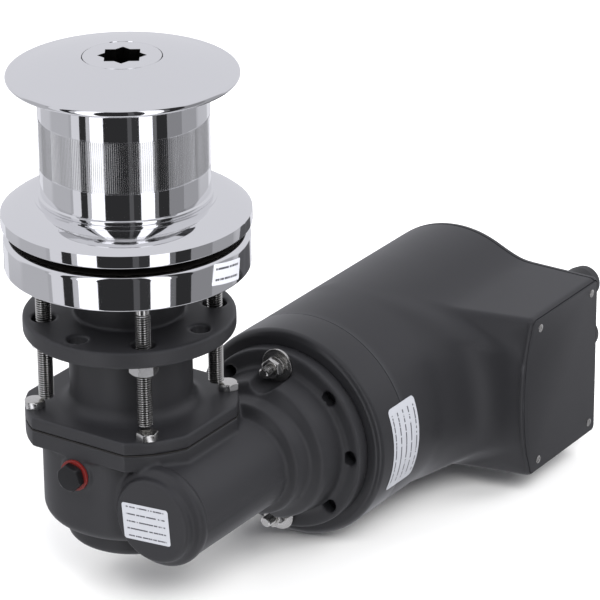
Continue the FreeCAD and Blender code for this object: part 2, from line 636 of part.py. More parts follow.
def bearing(name, outer, inner, start, width, axis, at):
    """A sealed ball bearing's outer and inner races, which part at a running gap."""
    middle = (outer + inner) / 2
    return (ring(name + "_outer", outer, middle + S.race_gap / 2, start, start + width, axis, at),
            ring(name + "_inner", middle - S.race_gap / 2, inner + S.seat_fit, start, start + width, axis, at))


def bearings():
    """Every rolling bearing, with its outer race on the housing and its inner race on the shaft."""
    foot_seat = S.foot_floor - S.foot_low
    upper = bearing("upper_bearing", S.main_bearing_radius, S.shaft_radius,
                    -S.upper_bearing_top - S.main_bearing_width, S.main_bearing_width, "z", DRUM_LINE)
    lower = bearing("lower_bearing", S.main_bearing_radius, S.shaft_radius, foot_seat,
                    S.main_bearing_width, "z", DRUM_LINE)
    front = bearing("worm_front_bearing", S.worm_front_radius, S.worm_front_journal, FRONT_BEARING,
                    S.worm_front_width, "x", MOTOR_LINE)
    rear = bearing("worm_rear_bearing", S.worm_rear_radius, S.worm_rear_journal, S.rear_bearing_start,
                   S.worm_rear_width, "x", MOTOR_LINE)
    drive = bearing("motor_front_bearing", S.worm_rear_radius, S.worm_rear_journal,
                    S.motor_bearing_start, S.worm_rear_width, "x", MOTOR_LINE)
    tail = bearing("motor_rear_bearing", S.worm_rear_radius, S.worm_rear_journal,
                   YOKE_END, S.worm_rear_width, "x", MOTOR_LINE)
    for label, pairs in (("shaft_bearing", (upper, lower)), ("worm_bearing", (front, rear)),
                         ("motor_bearing", (drive, tail))):
        node(group(label + "_outers", [pair[0] for pair in pairs]), label + "_outer_races")
        node(group(label + "_inners", [pair[1] for pair in pairs]), label + "_inner_races")


def shaft_seals():
    """The lip seals at the neck and behind the worm, and the ring that holds the worm's bearing."""
    node(ring("neck_seal", S.seal_radius, S.shaft_radius + S.running_fit, S.neck_spigot - S.seal_height,
              S.neck_spigot), "neck_oil_seal")
    seal_start = REAR_CLIP + S.ring_width
    node(ring("worm_seal_ring", S.worm_rear_radius, S.worm_rear_journal + S.running_fit, seal_start,
              seal_start + S.worm_seal_width, "x", MOTOR_LINE), "worm_oil_seal")
    node(ring("worm_clip", S.worm_rear_radius + 1.2 - S.seat_fit, S.worm_rear_radius - 2.5, REAR_CLIP,
              seal_start, "x", MOTOR_LINE), "worm_retaining_ring")


def worm_shaft():
    """The single-start worm, turned in one with its journals."""
    half = S.worm_length / 2
    lead = S.gear_module * math.pi
    root = S.worm_pitch_radius - S.gear_module * 1.25
    tip = S.worm_pitch_radius + S.gear_module
    flank = math.tan(math.radians(float(S.pressure_angle)))
    half_at_pitch = S.gear_module * (math.pi / 4)
    turns = round(float(S.worm_length) / float(lead))
    body = doc.addObject("PartDesign::Body", "worm_bar")
    bar = sketched(body, "XZ_Plane", [
        (0, FRONT_BEARING), (S.worm_front_journal, FRONT_BEARING, 0.6),
        (S.worm_front_journal, WORM_CHAMBER), (S.worm_body, WORM_CHAMBER + 1.0), (S.worm_body, -half),
        (root, -half), (root, half), (S.worm_body, half), (S.worm_body, S.rear_bearing_start),
        (S.worm_rear_journal, S.rear_bearing_start), (S.worm_rear_journal, S.worm_end, 0.6),
        (0, S.worm_end)])
    core = body.newObject("PartDesign::Revolution", "worm_turn")
    core.Profile = bar
    core.ReferenceAxis = (bar, ["V_Axis"])
    core.Angle = 360
    first = -((turns - 1) // 2 + 0.25)
    thread = body.newObject("Sketcher::SketchObject", "worm_thread_outline")
    thread.AttachmentSupport = [(plane_of(body, "XZ_Plane"), "")]
    thread.MapMode = "FlatFace"
    middle = lead * first
    wide = half_at_pitch + (S.worm_pitch_radius - root + 0.2) * flank
    narrow = half_at_pitch - S.gear_module * flank
    draw(thread, [(root - 0.2, middle - wide), (tip, middle - narrow), (tip, middle + narrow),
                  (root - 0.2, middle + wide)])
    helix = body.newObject("PartDesign::AdditiveHelix", "worm_thread")
    helix.Profile = thread
    helix.ReferenceAxis = (thread, ["V_Axis"])
    helix.Mode = 0
    bind(helix, Pitch=lead, Height=lead * (turns - 1))
    body.Tip = helix
    node(put(body, "x", MOTOR_LINE, 0), "worm_shaft")


def worm_coupling():
    """The sleeve that joins the worm to the motor's shaft."""
    node(ring("sleeve", S.sleeve_radius, S.worm_rear_journal + S.seat_fit, S.sleeve_start, S.sleeve_end,
              "x", MOTOR_LINE), "shaft_coupling")


def clutch():
    """The keyed cone under the drum, the washer over it and the star nut that clamps the two."""
    top_radius = S.cone_foot_radius - (S.cone_top - S.cone_low) * S.cone_slope
    web_top = S.cone_low + S.cone_web
    bore = S.shaft_radius + S.seat_fit
    body = turned("cone_body", [
        (bore, S.cone_low), (S.cone_foot_radius, S.cone_low), (top_radius, S.cone_top),
        (top_radius - S.cone_wall, S.cone_top), (top_radius - S.cone_wall, web_top, 2.0),
        (S.cone_hub_radius, web_top, 2.0), (S.cone_hub_radius, S.cone_top), (bore, S.cone_top)])
    node(cut("cone_slotted", body,
             keyway("cone_slot", S.shaft_radius - S.key_height / 2, S.shaft_radius + S.key_height / 2,
                    S.cone_low - 1.0, S.cone_top + 1.0, 0.02)), "clutch_cone")
    washer_top = S.washer_low + S.washer_thick
    node(ring("washer_ring", S.nut_head_radius, S.nut_stem_radius + S.hand_clearance,
              S.washer_low + S.running_fit, washer_top), "thrust_washer")
    nut = turned("nut_body", [
        (S.thread_radius + S.running_fit, S.nut_low), (S.nut_stem_radius, S.nut_low, S.nut_edge),
        (S.nut_stem_radius, washer_top), (S.nut_head_radius, washer_top),
        (S.nut_head_radius, S.drum_top, S.nut_edge), (0, S.drum_top),
        (0, S.drum_top - S.socket_depth), (S.thread_radius + S.running_fit, S.drum_top - S.socket_depth)])
    socket_low = S.drum_top - S.socket_depth
    squares = [bar(f"socket_square_{index}", 4, S.socket_flats / math.sqrt(2), socket_low, S.drum_top,
                   turn=SOCKET_TURN + 45 * index) for index in range(2)]
    node(cut("nut_socketed", nut, *squares), "star_nut")


def drum():
    """The drum: a domed rim, a knurled barrel and a hub with the seat of the clutch, in one."""
    rim_z = S.drum_top - S.rim_drop
    cone_fit = S.running_fit
    foot = S.spigot_low
    foot_cone = S.cone_foot_radius - (foot - S.cone_low) * S.cone_slope + cone_fit
    seat_top = S.cone_top + 1.0
    seat_radius = S.cone_foot_radius - (seat_top - S.cone_low) * S.cone_slope + cone_fit
    inner = S.barrel_radius - S.barrel_wall
    throat = S.nut_head_radius + S.hand_clearance
    groove = S.barrel_radius - S.ridge_depth
    half = S.ridge_width / 2
    web = S.throat_top - S.web_thick
    bush_hole = S.shaft_radius + S.running_fit + S.bush_wall + S.seat_fit
    ridges = []
    for height in (S.ridge_low, S.ridge_top):
        ridges += [(S.barrel_radius, height - half), (groove, height - half), (groove, height + half),
                   (S.barrel_radius, height + half)]
    node(turned("drum_body", [
        (foot_cone, foot), (S.spigot_radius, foot), (S.spigot_radius, S.lip_low),
        (S.barrel_radius + S.lip_proud, S.lip_low), (S.barrel_radius + S.lip_proud, S.lip_top - 1.0),
        (S.barrel_radius, S.lip_top), *ridges, (S.barrel_radius, S.throat_top, S.throat_round),
        (S.rim_radius - S.rim_round, rim_z - S.rim_round), Bow(S.rim_radius, rim_z, S.rim_round),
        Bow(S.rim_radius - S.rim_round, rim_z + S.rim_round, S.rim_round),
        Bow(throat, S.drum_top, S.dome_radius), (throat, S.washer_low),
        (S.nut_stem_radius + S.hand_clearance, S.washer_low),
        (S.nut_stem_radius + S.hand_clearance, S.bush_top), (bush_hole, S.bush_top),
        (bush_hole, S.hub_low), (S.hub_radius, S.hub_low, 1.0), (S.hub_radius, web, 3.0),
        (inner, web, 4.0), (inner, seat_top + 4.0), (seat_radius, seat_top)]), "drum")
    node(ring("bush", S.shaft_radius + S.running_fit + S.bush_wall, S.shaft_radius + S.running_fit,
              S.bush_low, S.bush_top), "drum_bush")
    body = turned("skirt_body", [
        (S.spigot_radius + S.seat_fit, S.skirt_low + 1.3), (S.spigot_radius + 8.0, S.skirt_low + 1.3),
        (S.spigot_radius + 8.0, S.skirt_low + S.skirt_recess),
        (S.skirt_radius - S.skirt_rim, S.skirt_low + S.skirt_recess),
        (S.skirt_radius - S.skirt_rim, S.skirt_low), (S.skirt_radius, S.skirt_low, 0.8),
        (S.skirt_radius, S.skirt_band), Bow(S.barrel_radius + 3.0, S.skirt_crown, S.skirt_dome),
        (S.barrel_radius + 3.0, S.lip_low), (S.spigot_radius + S.seat_fit, S.lip_low)])
    node(body, "drum_skirt")


def motor():
    """The motor inside its cover: shields, yoke, magnets, armature, commutator and brushes."""
    seat = S.worm_rear_radius + S.seat_fit
    pilot = S.worm_rear_radius - 0.1
    yoke = S.yoke_radius + S.seat_fit
    cover_inner = S.motor_radius - S.cover_wall
    front_end = S.motor_bearing_start + S.worm_rear_width
    front_shield = turned("front_shield_body", [
        (S.sleeve_radius + 1.5, SHIELD_FRONT - 3.0), (pilot, SHIELD_FRONT - 3.0), (pilot, SHIELD_FRONT),
        (S.motor_radius, SHIELD_FRONT, S.shield_round), (S.motor_radius, SHIELD_SEAM),
        (cover_inner - S.seat_fit, SHIELD_SEAM), (cover_inner - S.seat_fit, SHIELD_SEAM + 6.0),
        (yoke, SHIELD_SEAM + 6.0), (yoke, YOKE_START), (yoke - 5.0, YOKE_START),
        (yoke - 5.0, SHIELD_FRONT + S.shield_wall, 3.0), (seat + 4.0, SHIELD_FRONT + S.shield_wall, 2.0),
        (seat + 4.0, front_end), (seat, front_end), (seat, S.motor_bearing_start),
        (S.sleeve_radius + 1.5, S.motor_bearing_start)], "x", MOTOR_LINE)
    holes = [rod(f"front_stud_hole_{angle}", S.motor_stud_radius + S.seat_fit, SHIELD_FRONT, YOKE_START,
                 "x", around(S.motor_hole_circle, angle, MOTOR_LINE)) for angle in (90, 270)]
    holes += [rod(f"front_tie_hole_{angle}", S.tie_radius + S.seat_fit, SHIELD_FRONT, YOKE_START, "x",
                  around(S.tie_circle, angle, MOTOR_LINE)) for angle in (0, 180)]
    node(cut("front_shield_drilled", front_shield, *holes), "motor_front_shield")
    node(ring("yoke", S.yoke_radius, S.yoke_radius - S.yoke_wall, YOKE_START, YOKE_END, "x", MOTOR_LINE),
         "motor_yoke")
    back = YOKE_END + S.rear_shield_thick
    pocket = YOKE_END + S.worm_rear_width
    rear_shield = turned("rear_shield_body", [
        (seat, YOKE_END), (S.yoke_radius, YOKE_END, 1.0), (S.yoke_radius, back, 1.0), (seat + 4.0, back, 2.0),
        (seat + 4.0, pocket + 3.0, 1.0), (0, pocket + 3.0), (0, pocket), (seat, pocket)], "x", MOTOR_LINE)
    holes = [rod(f"rear_tie_hole_{angle}", S.tie_radius + S.seat_fit, YOKE_END, back, "x",
                 around(S.tie_circle, angle, MOTOR_LINE)) for angle in (0, 180)]
    node(cut("rear_shield_drilled", rear_shield, *holes), "motor_rear_shield")
    rotor()
    stator()


def rotor():
    """The armature: shaft, slotted core, end windings and commutator."""
    start = S.worm_end + S.hand_clearance * 2
    step = S.motor_bearing_start + S.worm_rear_width
    core_end = S.core_start + S.core_length
    core_radius = S.yoke_radius - S.yoke_wall - S.magnet_thick - S.air_gap
    shaft = turned("armature_bar", [
        (0, start), (S.worm_rear_journal, start, 0.6), (S.worm_rear_journal, step),
        (S.worm_rear_journal + 1.5, step), (S.worm_rear_journal + 1.5, YOKE_END),
        (S.worm_rear_journal, YOKE_END), (S.worm_rear_journal, YOKE_END + S.worm_rear_width - 0.5, 0.6),
        (0, YOKE_END + S.worm_rear_width - 0.5)], "x", MOTOR_LINE)
    node(shaft, "armature_shaft")
    bore = S.worm_rear_journal + 1.5 + S.seat_fit
    laminations = ring("core_ring", core_radius, bore, S.core_start, core_end, "x", MOTOR_LINE)
    slots = [rod(f"core_slot_{index}", 1.8, S.core_start, core_end, "x",
                 around(core_radius - 1.2, index * 360 / ARMATURE_SLOTS, MOTOR_LINE))
             for index in range(ARMATURE_SLOTS)]
    node(cut("core_slotted", laminations, *slots), "armature_core")
    coils = []
    for index, place in enumerate((S.core_start - S.winding_length, core_end)):
        coils.append(turned(f"coil_{index}", [
            (bore, place), (S.winding_radius, place, 4.0), (S.winding_radius, place + S.winding_length, 4.0),
            (bore, place + S.winding_length)], "x", MOTOR_LINE))
    node(group("coils", coils), "armature_windings")
    node(ring("commutator_ring", S.commutator_radius, bore, S.commutator_start,
              S.commutator_start + S.commutator_length, "x", MOTOR_LINE), "commutator")


def stator():
    """The magnets, the brush ring with its holders, and the brushes."""
    outer = S.yoke_radius - S.yoke_wall - S.seat_fit
    inner = outer - S.magnet_thick
    middle = S.core_start + S.core_length / 2
    start = middle - S.magnet_length / 2
    end = middle + S.magnet_length / 2
    magnets = []
    for index, angle in enumerate(QUARTERS):
        shell = ring(f"magnet_ring_{index}", outer, inner, start, end, "x", MOTOR_LINE)
        wedge = doc.addObject("Part::Cylinder", f"magnet_wedge_{index}")
        bind(wedge, Radius=outer + 1.0, Height=end - start, Angle=S.magnet_arc)
        put(wedge, "x", MOTOR_LINE, start, angle - float(S.magnet_arc) / 2)
        magnets.append(common(f"magnet_{index}", shell, wedge))
    node(group("magnets", magnets), "field_magnets")
    brush_centre = S.commutator_start + S.commutator_length / 2
    plate_start = brush_centre + S.brush_width / 2 + 1.0
    carrier = ring("carrier_ring", outer - S.hand_clearance, S.commutator_radius + 1.5, plate_start,
                   plate_start + S.brush_ring_thick, "x", MOTOR_LINE)
    tie_holes = [rod(f"carrier_tie_{angle}", S.tie_radius + S.hand_clearance, plate_start,
                     plate_start + S.brush_ring_thick, "x", around(S.tie_circle, angle, MOTOR_LINE))
                 for angle in (0, 180)]
    node(cut("carrier_drilled", carrier, *tie_holes), "brush_carrier")
    brushes, holders = [], []
    half = S.brush_width / 2
    low = S.commutator_radius + S.running_fit
    for index in range(4):
        turn = Rotation(Vector(1, 0, 0), 45 + 90 * index)
        brush = block(f"brush_{index}", (-half, -half, low), (half, half, low + S.brush_length))
        sleeve = cut(f"holder_{index}",
                     block(f"holder_outside_{index}", (-half - 1.0, -half - 1.0, low + 2.5),
                           (half + 1.0, half + 1.0, low + S.brush_length + 2.0)),
                     block(f"holder_hole_{index}", (-half - 0.1, -half - 0.1, low + 2.5),
                           (half + 0.1, half + 0.1, low + S.brush_length + 2.0)))
        for item, items in ((brush, brushes), (sleeve, holders)):
            items.append(stood(item, turn, brush_centre))
    node(group("brushes", brushes), "brushes")
    node(group("holders", holders), "brush_holders")
    back = YOKE_END + S.rear_shield_thick
    ties = []
    for angle in (0, 180):
        at = around(S.tie_circle, angle, MOTOR_LINE)
        ties.append(fuse(f"tie_{angle}",
                         rod(f"tie_shank_{angle}", S.tie_radius, SHIELD_FRONT + 0.5, back, "x", at),
                         hexagon(f"tie_head_{angle}", S.tie_flats, back, back + S.tie_head, "x", at)))
    node(group("ties", ties), "motor_tie_bolts")


def stood(item, turn, along):
    """A piece made over the origin, turned about the motor's axis and moved to its place."""
    moved = doc.addObject("Part::Compound", item.Name + "_placed")
    moved.Links = [item]
    moved.Placement = Placement(Vector(), turn)
    for name, size in zip("xyz", (along, *MOTOR_LINE)):
        moved.setExpression(f"Placement.Base.{name}", size.formula)
    return moved


def motor_fasteners():
    """The two studs that hold the motor on the bell, each with two washers and a nut."""
    front = S.motor_flange_front
    washer_front = front - S.washer_plate
    spring_front = washer_front - S.spring_washer
    nut_front = spring_front - S.motor_nut_height
    studs, washers, springs, nuts = [], [], [], []
    for angle in (90, 270):
        at = around(S.motor_hole_circle, angle, MOTOR_LINE)
        studs.append(rod(f"motor_stud_{angle}", S.motor_stud_radius, front - S.stud_proud,
                         SHIELD_FRONT + S.shield_wall, "x", at))
        hole = S.motor_stud_radius + S.seat_fit
        washers.append(ring(f"motor_washer_{angle}", S.washer_radius, hole, washer_front, front, "x", at))
        springs.append(ring(f"motor_spring_{angle}", S.motor_nut_flats / 2 + 0.4, hole, spring_front,
                            washer_front, "x", at))
        blank = hexagon(f"motor_nut_blank_{angle}", S.motor_nut_flats, nut_front, spring_front, "x", at)
        nuts.append(cut(f"motor_nut_{angle}", blank,
                        rod(f"motor_nut_hole_{angle}", hole, nut_front, spring_front, "x", at)))
    node(group("motor_studs_all", studs), "motor_studs")
    node(group("motor_washers_all", washers), "motor_washers")
    node(group("motor_springs_all", springs), "motor_spring_washers")
    node(group("motor_nuts_all", nuts), "motor_nuts")


def box_outline(inset, forward=0.0):
    """The control box seen from its lid: flat top, back and foot, and a front that bows."""
    half = S.box_half_height - inset
    low, high = -half - S.gear_axis_drop, half - S.gear_axis_drop
    rear = S.cover_end - inset
    front = S.box_front + S.box_bow + inset - forward
    bow_radius = (S.box_half_height * S.box_half_height + S.box_bow * S.box_bow) / (S.box_bow * 2)
    return [(rear, low), (rear, high), (front, high), Bow(front, low, bow_radius)]


def box_solid(name, inset, outside, inside):
    """The box between two depths, drafted so that it grows longer towards the motor."""
    body = doc.addObject("PartDesign::Body", name)
    sketches = []
    for index, depth in enumerate((outside, inside)):
        sketch = body.newObject("Sketcher::SketchObject", f"{name}_face_{index}")
        sketch.AttachmentSupport = [(plane_of(body, "XZ_Plane"), "")]
        sketch.MapMode = "FlatFace"
        sketch.setExpression("AttachmentOffset.Base.z", depth.formula)
        draw(sketch, box_outline(inset, (S.box_face - depth) * S.box_draft))
        sketches.append(sketch)
    loft = body.newObject("PartDesign::AdditiveLoft", name + "_loft")
    loft.Profile = sketches[0]
    loft.Sections = sketches[1:]
    loft.Ruled = True
    return body


def motor_cover():
    """The moulded cover: a round shell that swells into the control box, with its opening."""
    inner = S.motor_radius - S.cover_wall
    rear_wall = S.cover_end - S.cover_wall
    deep = CENTRE_DISTANCE
    shell = rod("cover_round", S.motor_radius, SHIELD_SEAM + S.shield_seam, S.cover_end, "x", MOTOR_LINE)
    box = box_solid("cover_box", Size("0.0", 0.0), S.box_face, deep)
    joined = fuse("cover_form", shell, box)
    radius = float(S.motor_radius)
    centre = (-float(CENTRE_DISTANCE), -float(S.gear_axis_drop))

    def on_blend(edge, middle):
        """Whether an edge lies where the box leaves the round shell."""
        reach = math.hypot(middle.y - centre[0], middle.z - centre[1])
        return abs(reach - radius) < 0.05 and middle.x < float(S.cover_end) - 0.5 and middle.y < centre[0] - 5 \
            and middle.x > float(S.box_front) - 60

    blended = rounded("cover_blended", joined, S.box_blend, on_blend)
    hollow = rod("cover_hollow", inner, SHIELD_SEAM, rear_wall, "x", MOTOR_LINE)
    ledge = S.box_face - S.lid_thick - S.cover_wall
    box_hollow = box_solid("cover_box_hollow", S.cover_wall, ledge, deep)
    mouth = box_solid("cover_mouth", S.lid_margin + S.lid_ledge, S.box_face, ledge)
    rebate = box_solid("cover_rebate", S.lid_margin - S.lid_gap, S.box_face, S.box_face - S.lid_thick)
    hollowed = cut("cover_hollowed", blended, hollow, box_hollow, mouth, rebate)
    bosses = [rod(f"cover_screw_boss_{index}", S.lid_screw_radius + S.lid_boss_wall,
                  S.lid_thick - S.box_face, S.lid_thick + S.lid_screw_length + 0.5 - S.box_face, "y", place)
              for index, place in enumerate(lid_screw_places())]
    screw_holes = [rod(f"cover_screw_hole_{index}", S.lid_screw_radius + S.seat_fit, S.lid_thick - S.box_face,
                       S.lid_thick + S.lid_screw_length - S.box_face, "y", place)
                   for index, place in enumerate(lid_screw_places())]
    gland_holes = [rod(f"cover_gland_hole_{index}", S.gland_thread + S.seat_fit, rear_wall, S.cover_end, "x",
                       (-S.gland_side, -drop)) for index, drop in enumerate((S.gland_upper, S.gland_lower))]
    with_bosses = fuse("cover_bossed", hollowed, *bosses)
    node(cut("cover_finished", with_bosses, *screw_holes, *gland_holes), "motor_cover")


def lid_screw_places():
    """The lid's four screws, in X and Z."""
    front = S.box_front + S.box_bow + S.lid_screw_inset + 1.0
    rear = S.cover_end - S.lid_screw_inset
    reach = S.box_half_height - S.lid_screw_inset
    return [(x, reach * side - S.gear_axis_drop) for x in (front, rear) for side in (1, -1)]


def control_box():
    """The box's lid and its screws, the contactor on its saddle, and the cable glands."""
    lid = box_solid("lid_plate", S.lid_margin, S.box_face, S.box_face - S.lid_thick)
    places = lid_screw_places()
    holes = [rod(f"lid_hole_{index}", S.lid_screw_radius + S.lid_hole_play, -S.box_face,
                 S.lid_thick - S.box_face, "y", place) for index, place in enumerate(places)]
    sink_floor = S.lid_screw_sink - S.box_face
    sinks = [rod(f"lid_sink_{index}", S.lid_screw_head, -S.box_face, sink_floor, "y", place)
             for index, place in enumerate(places)]
    node(cut("lid_drilled", lid, *holes, *sinks), "control_box_lid")
    screws = []
    for index, place in enumerate(places):
        head = rod(f"lid_screw_head_{index}", S.lid_screw_head - S.lid_head_play,
                   S.lid_head_play - S.box_face, sink_floor, "y", place)
        shank = rod(f"lid_screw_shank_{index}", S.lid_screw_radius, sink_floor,
                    S.lid_thick + S.lid_screw_length - 1.0 - S.box_face, "y", place)
        screws.append(fuse(f"lid_screw_{index}", head, shank))
    node(group("lid_screws_all", screws), "lid_screws")

    along = S.box_front + S.box_bow + S.contactor_inset
    yoke_face = -CENTRE_DISTANCE - S.yoke_radius
    saddle_face = yoke_face - S.saddle_thick
    half = S.contactor_height / 2
    saddle = cut("saddle_cut",
                 block("saddle_block", (along, saddle_face, -S.gear_axis_drop - half),
                       (along + S.contactor_width, yoke_face + S.saddle_reach, -S.gear_axis_drop + half)),
                 rod("saddle_round", S.yoke_radius + S.seat_fit, along, along + S.contactor_width, "x",
                     MOTOR_LINE))
    node(saddle, "contactor_saddle")
    back = saddle_face - S.contactor_depth
    contactor = block("contactor_block", (along, back, -S.gear_axis_drop - half),
                      (along + S.contactor_width, saddle_face, -S.gear_axis_drop + half))
    node(rounded("contactor_soft", contactor, S.contactor_round,
                 lambda edge, middle: middle.y < float(saddle_face) - 1.0), "contactor")
    posts = []
    for index, x in enumerate((along + S.terminal_inset, along + S.contactor_width - S.terminal_inset)):
        for side in (1, -1):
            end = half * side - S.gear_axis_drop
            low, high = (end, end + S.terminal_length) if side > 0 else (end - S.terminal_length, end)
            posts.append(rod(f"terminal_{index}_{side + 1}", S.terminal_radius, low, high, "z",
                             (x, saddle_face - S.contactor_depth / 2)))
    node(group("terminals", posts), "contactor_terminals")

    glands, nuts = [], []
    rear_wall = S.cover_end - S.cover_wall
    for index, drop in enumerate((S.gland_upper, S.gland_lower)):
        at = (-S.gland_side, -drop)
        end = S.cover_end + S.gland_length
        body = turned(f"gland_{index}", [
            (S.gland_bore, rear_wall - S.gland_nut), (S.gland_thread, rear_wall - S.gland_nut),
            (S.gland_thread, S.cover_end), (S.gland_radius, S.cover_end),
            (S.gland_radius, end - S.gland_dome, 1.0),
            (S.gland_radius - 1.5, end, 3.0), (S.gland_bore, end)], "x", at)
        glands.append(body)
        nuts.append(cut(f"gland_nut_{index}",
                        hexagon(f"gland_nut_blank_{index}", S.gland_nut_flats, rear_wall - S.gland_nut,
                                rear_wall, "x", at, 30),
                        rod(f"gland_nut_hole_{index}", S.gland_thread + S.seat_fit, rear_wall - S.gland_nut,
                            rear_wall, "x", at)))
    node(group("glands_all", glands), "cable_glands")
    node(group("gland_nuts_all", nuts), "gland_nuts")


def check_and_write():
    """Stop on any failed object or shape, then write each piece's file."""
    doc.recompute()
    for item in doc.Objects:
        if {"Invalid", "Error"} & set(item.State):
            raise RuntimeError(f"{item.Label} failed: {item.State}")
    os.makedirs("parts", exist_ok=True)
    for item in NODES:
        shape = item.Shape
        if shape.isNull() or not shape.isValid() or not shape.Solids:
            raise RuntimeError(f"{item.Label} has no valid solid")
        shape.exportStep(f"parts/{item.Label}.step")
        print(f"{item.Label}: {len(shape.Solids)} solids, {shape.Volume / 1000:.2f} cm3")


for build in (deck_base, deck_fasteners, gear_cover, gear_case, case_joint, oil_filler, drive_shaft,
              worm_wheel, bearings, shaft_seals, worm_shaft, worm_coupling, clutch, drum, motor,
              motor_fasteners, motor_cover, control_box):
    build()
check_and_write()
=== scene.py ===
"""Deck capstan: the looks of its chromed drum and base, its coated castings and its motor cover.

Sizes in the classes are in millimetres, and every mesh is made in metres in the frame's own axes:
+Z up along the drum, +X along the motor, with the origin on the drum's axis at the deck face.
"""
import json
import logging
import math
from dataclasses import dataclass
from enum import Enum
from typing import Callable, Iterable, Sequence

import bpy
from mathutils import Matrix, Vector


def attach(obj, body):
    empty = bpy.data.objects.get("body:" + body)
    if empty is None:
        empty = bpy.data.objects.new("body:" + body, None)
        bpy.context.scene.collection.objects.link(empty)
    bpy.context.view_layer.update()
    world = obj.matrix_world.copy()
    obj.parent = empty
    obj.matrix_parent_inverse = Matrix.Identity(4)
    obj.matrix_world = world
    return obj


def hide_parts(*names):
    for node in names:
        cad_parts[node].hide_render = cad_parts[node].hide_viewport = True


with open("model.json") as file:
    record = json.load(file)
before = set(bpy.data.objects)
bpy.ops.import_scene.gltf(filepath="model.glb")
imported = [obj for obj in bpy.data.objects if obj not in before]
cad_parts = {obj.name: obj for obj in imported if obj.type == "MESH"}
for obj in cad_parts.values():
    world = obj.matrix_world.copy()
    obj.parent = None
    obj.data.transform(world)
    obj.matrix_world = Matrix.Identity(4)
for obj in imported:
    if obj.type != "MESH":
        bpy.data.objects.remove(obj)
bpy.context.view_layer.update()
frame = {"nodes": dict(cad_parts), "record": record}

MM = 0.001
TURNED_STEPS = 256
TURNED_STEP = 5.0
PLATE_STEP = 6.0
THREAD_DEPTH = 0.61
THREAD_FLANKS = ((1, 0.21), (1, 0.21), (0, 0.16), (-1, 0.21), (-1, 0.21))
FILM_THICK = 0.08
WELD = 1e-6
QUARTER_TURN = math.radians(90)
LOG = logging.getLogger("deck_capstan")
Colour = tuple[float, float, float]
Item = bpy.types.Object
Tree = bpy.types.NodeTree
Socket = bpy.types.NodeSocket
FaceTest = Callable[[bpy.types.MeshPolygon], bool]


class Body(Enum):
    """The bodies that pieces ride on."""

    FRAME = "frame"
    DRUM = "drum"
    NUT = "nut"


class Axis(Enum):
    """The two lines that turned pieces stand on."""

    DRUM = "drum"
    MOTOR = "motor"


class Slot(Enum):
    """The record's material slots that new pieces' finishes match."""

    CHROME = "chrome"
    ZINC = "zinc"
    CASTING = "casting"
    SHIELD = "shield"
    COVER = "cover"
    RED_SEAL = "red_seal"
    PAPER = "paper"


@dataclass(frozen=True)
class Layout:
    """Places that several sub-assemblies share, in millimetres."""

    motor_y: float = -45.0
    motor_z: float = -114.6
    hole_circle: float = 44.0
    plate_low: float = -34.9
    flange_top: float = -75.0
    bolt_circle: float = 50.0
    quarter_angles: tuple[float, ...] = (45.0, 135.0, 225.0, 315.0)


@dataclass(frozen=True)
class Chamfers:
    """How hexagon heads and nuts are chamfered, in millimetres."""

    face_share: float = 0.95
    slope: float = math.radians(30)
    beyond: float = 0.4
    land: float = 0.25
    sink: float = 0.45


PLACES = Layout()
HEXAGON = Chamfers()


@dataclass(frozen=True)
class Arc:
    """The end of an arc from the point before; a positive radius bends to the left."""

    across: float
    along: float
    radius: float


# Shader node groups

def new_group(name: str, inputs: dict[str, float], outputs: Iterable[str]) -> Tree:
    """Make an empty shader node group with number inputs and outputs.

    Args:
        name: The group's name.
        inputs: Each input's name and default.
        outputs: The outputs' names.

    Returns:
        The group's node tree.
    """
    tree = bpy.data.node_groups.new(name, "ShaderNodeTree")
    for title, default in inputs.items():
        socket = tree.interface.new_socket(title, in_out="INPUT", socket_type="NodeSocketFloat")
        socket.default_value = default
    for title in outputs:
        tree.interface.new_socket(title, in_out="OUTPUT", socket_type="NodeSocketFloat")
    tree.nodes.new("NodeGroupInput").name = "in"
    tree.nodes.new("NodeGroupOutput").name = "out"
    return tree


def fill(tree: Tree, socket: Socket, value: object) -> None:
    """Link an input to another socket, or set its value."""
    if isinstance(value, Socket):
        tree.links.new(value, socket)
    else:
        socket.default_value = value


def feed(tree: Tree, item: bpy.types.Node, **inputs: object) -> None:
    """Fill inputs of a node, named with underscores for spaces."""
    for title, value in inputs.items():
        fill(tree, item.inputs[title.replace("_", " ")], value)


def add_node(tree: Tree, kind: str, **inputs: object) -> bpy.types.Node:
    """Add a shader node, and set or link its inputs."""
    item = tree.nodes.new("ShaderNode" + kind)
    feed(tree, item, **inputs)
    return item


def math_node(tree: Tree, operation: str, first: object, second: object = 0.0,
              clamp: bool = False) -> Socket:
    """Add a Math node.

    Args:
        tree: The node tree.
        operation: The Math node's operation.
        first: A socket or a number.
        second: A socket or a number.
        clamp: Whether the result is kept between 0 and 1.

    Returns:
        The node's output.
    """
    item = tree.nodes.new("ShaderNodeMath")
    item.operation = operation
    item.use_clamp = clamp
    for socket, value in zip(item.inputs, (first, second)):
        fill(tree, socket, value)
    return item.outputs[0]


def smooth_step(tree: Tree, source: Socket, start: float, end: float) -> Socket:
    """Add a node that rises smoothly from 0 to 1 between two values."""
    step = add_node(tree, "MapRange", Value=source, From_Min=start, From_Max=end)
    step.interpolation_type = "SMOOTHSTEP"
    return step.outputs["Result"]


def mix_colours(tree: Tree, share: Socket, first: object, second: object) -> Socket:
    """Add a node that mixes two colours, each a socket or a value."""
    mix = tree.nodes.new("ShaderNodeMix")
    mix.data_type = "RGBA"
    feed(tree, mix, Factor=share, A=first, B=second)
    return mix.outputs["Result"]


def place_of(tree: Tree, kind: str) -> Socket:
    """Add a node that gives the place on a piece, as Object or UV coordinates."""
    return tree.nodes.new("ShaderNodeTexCoord").outputs[kind]


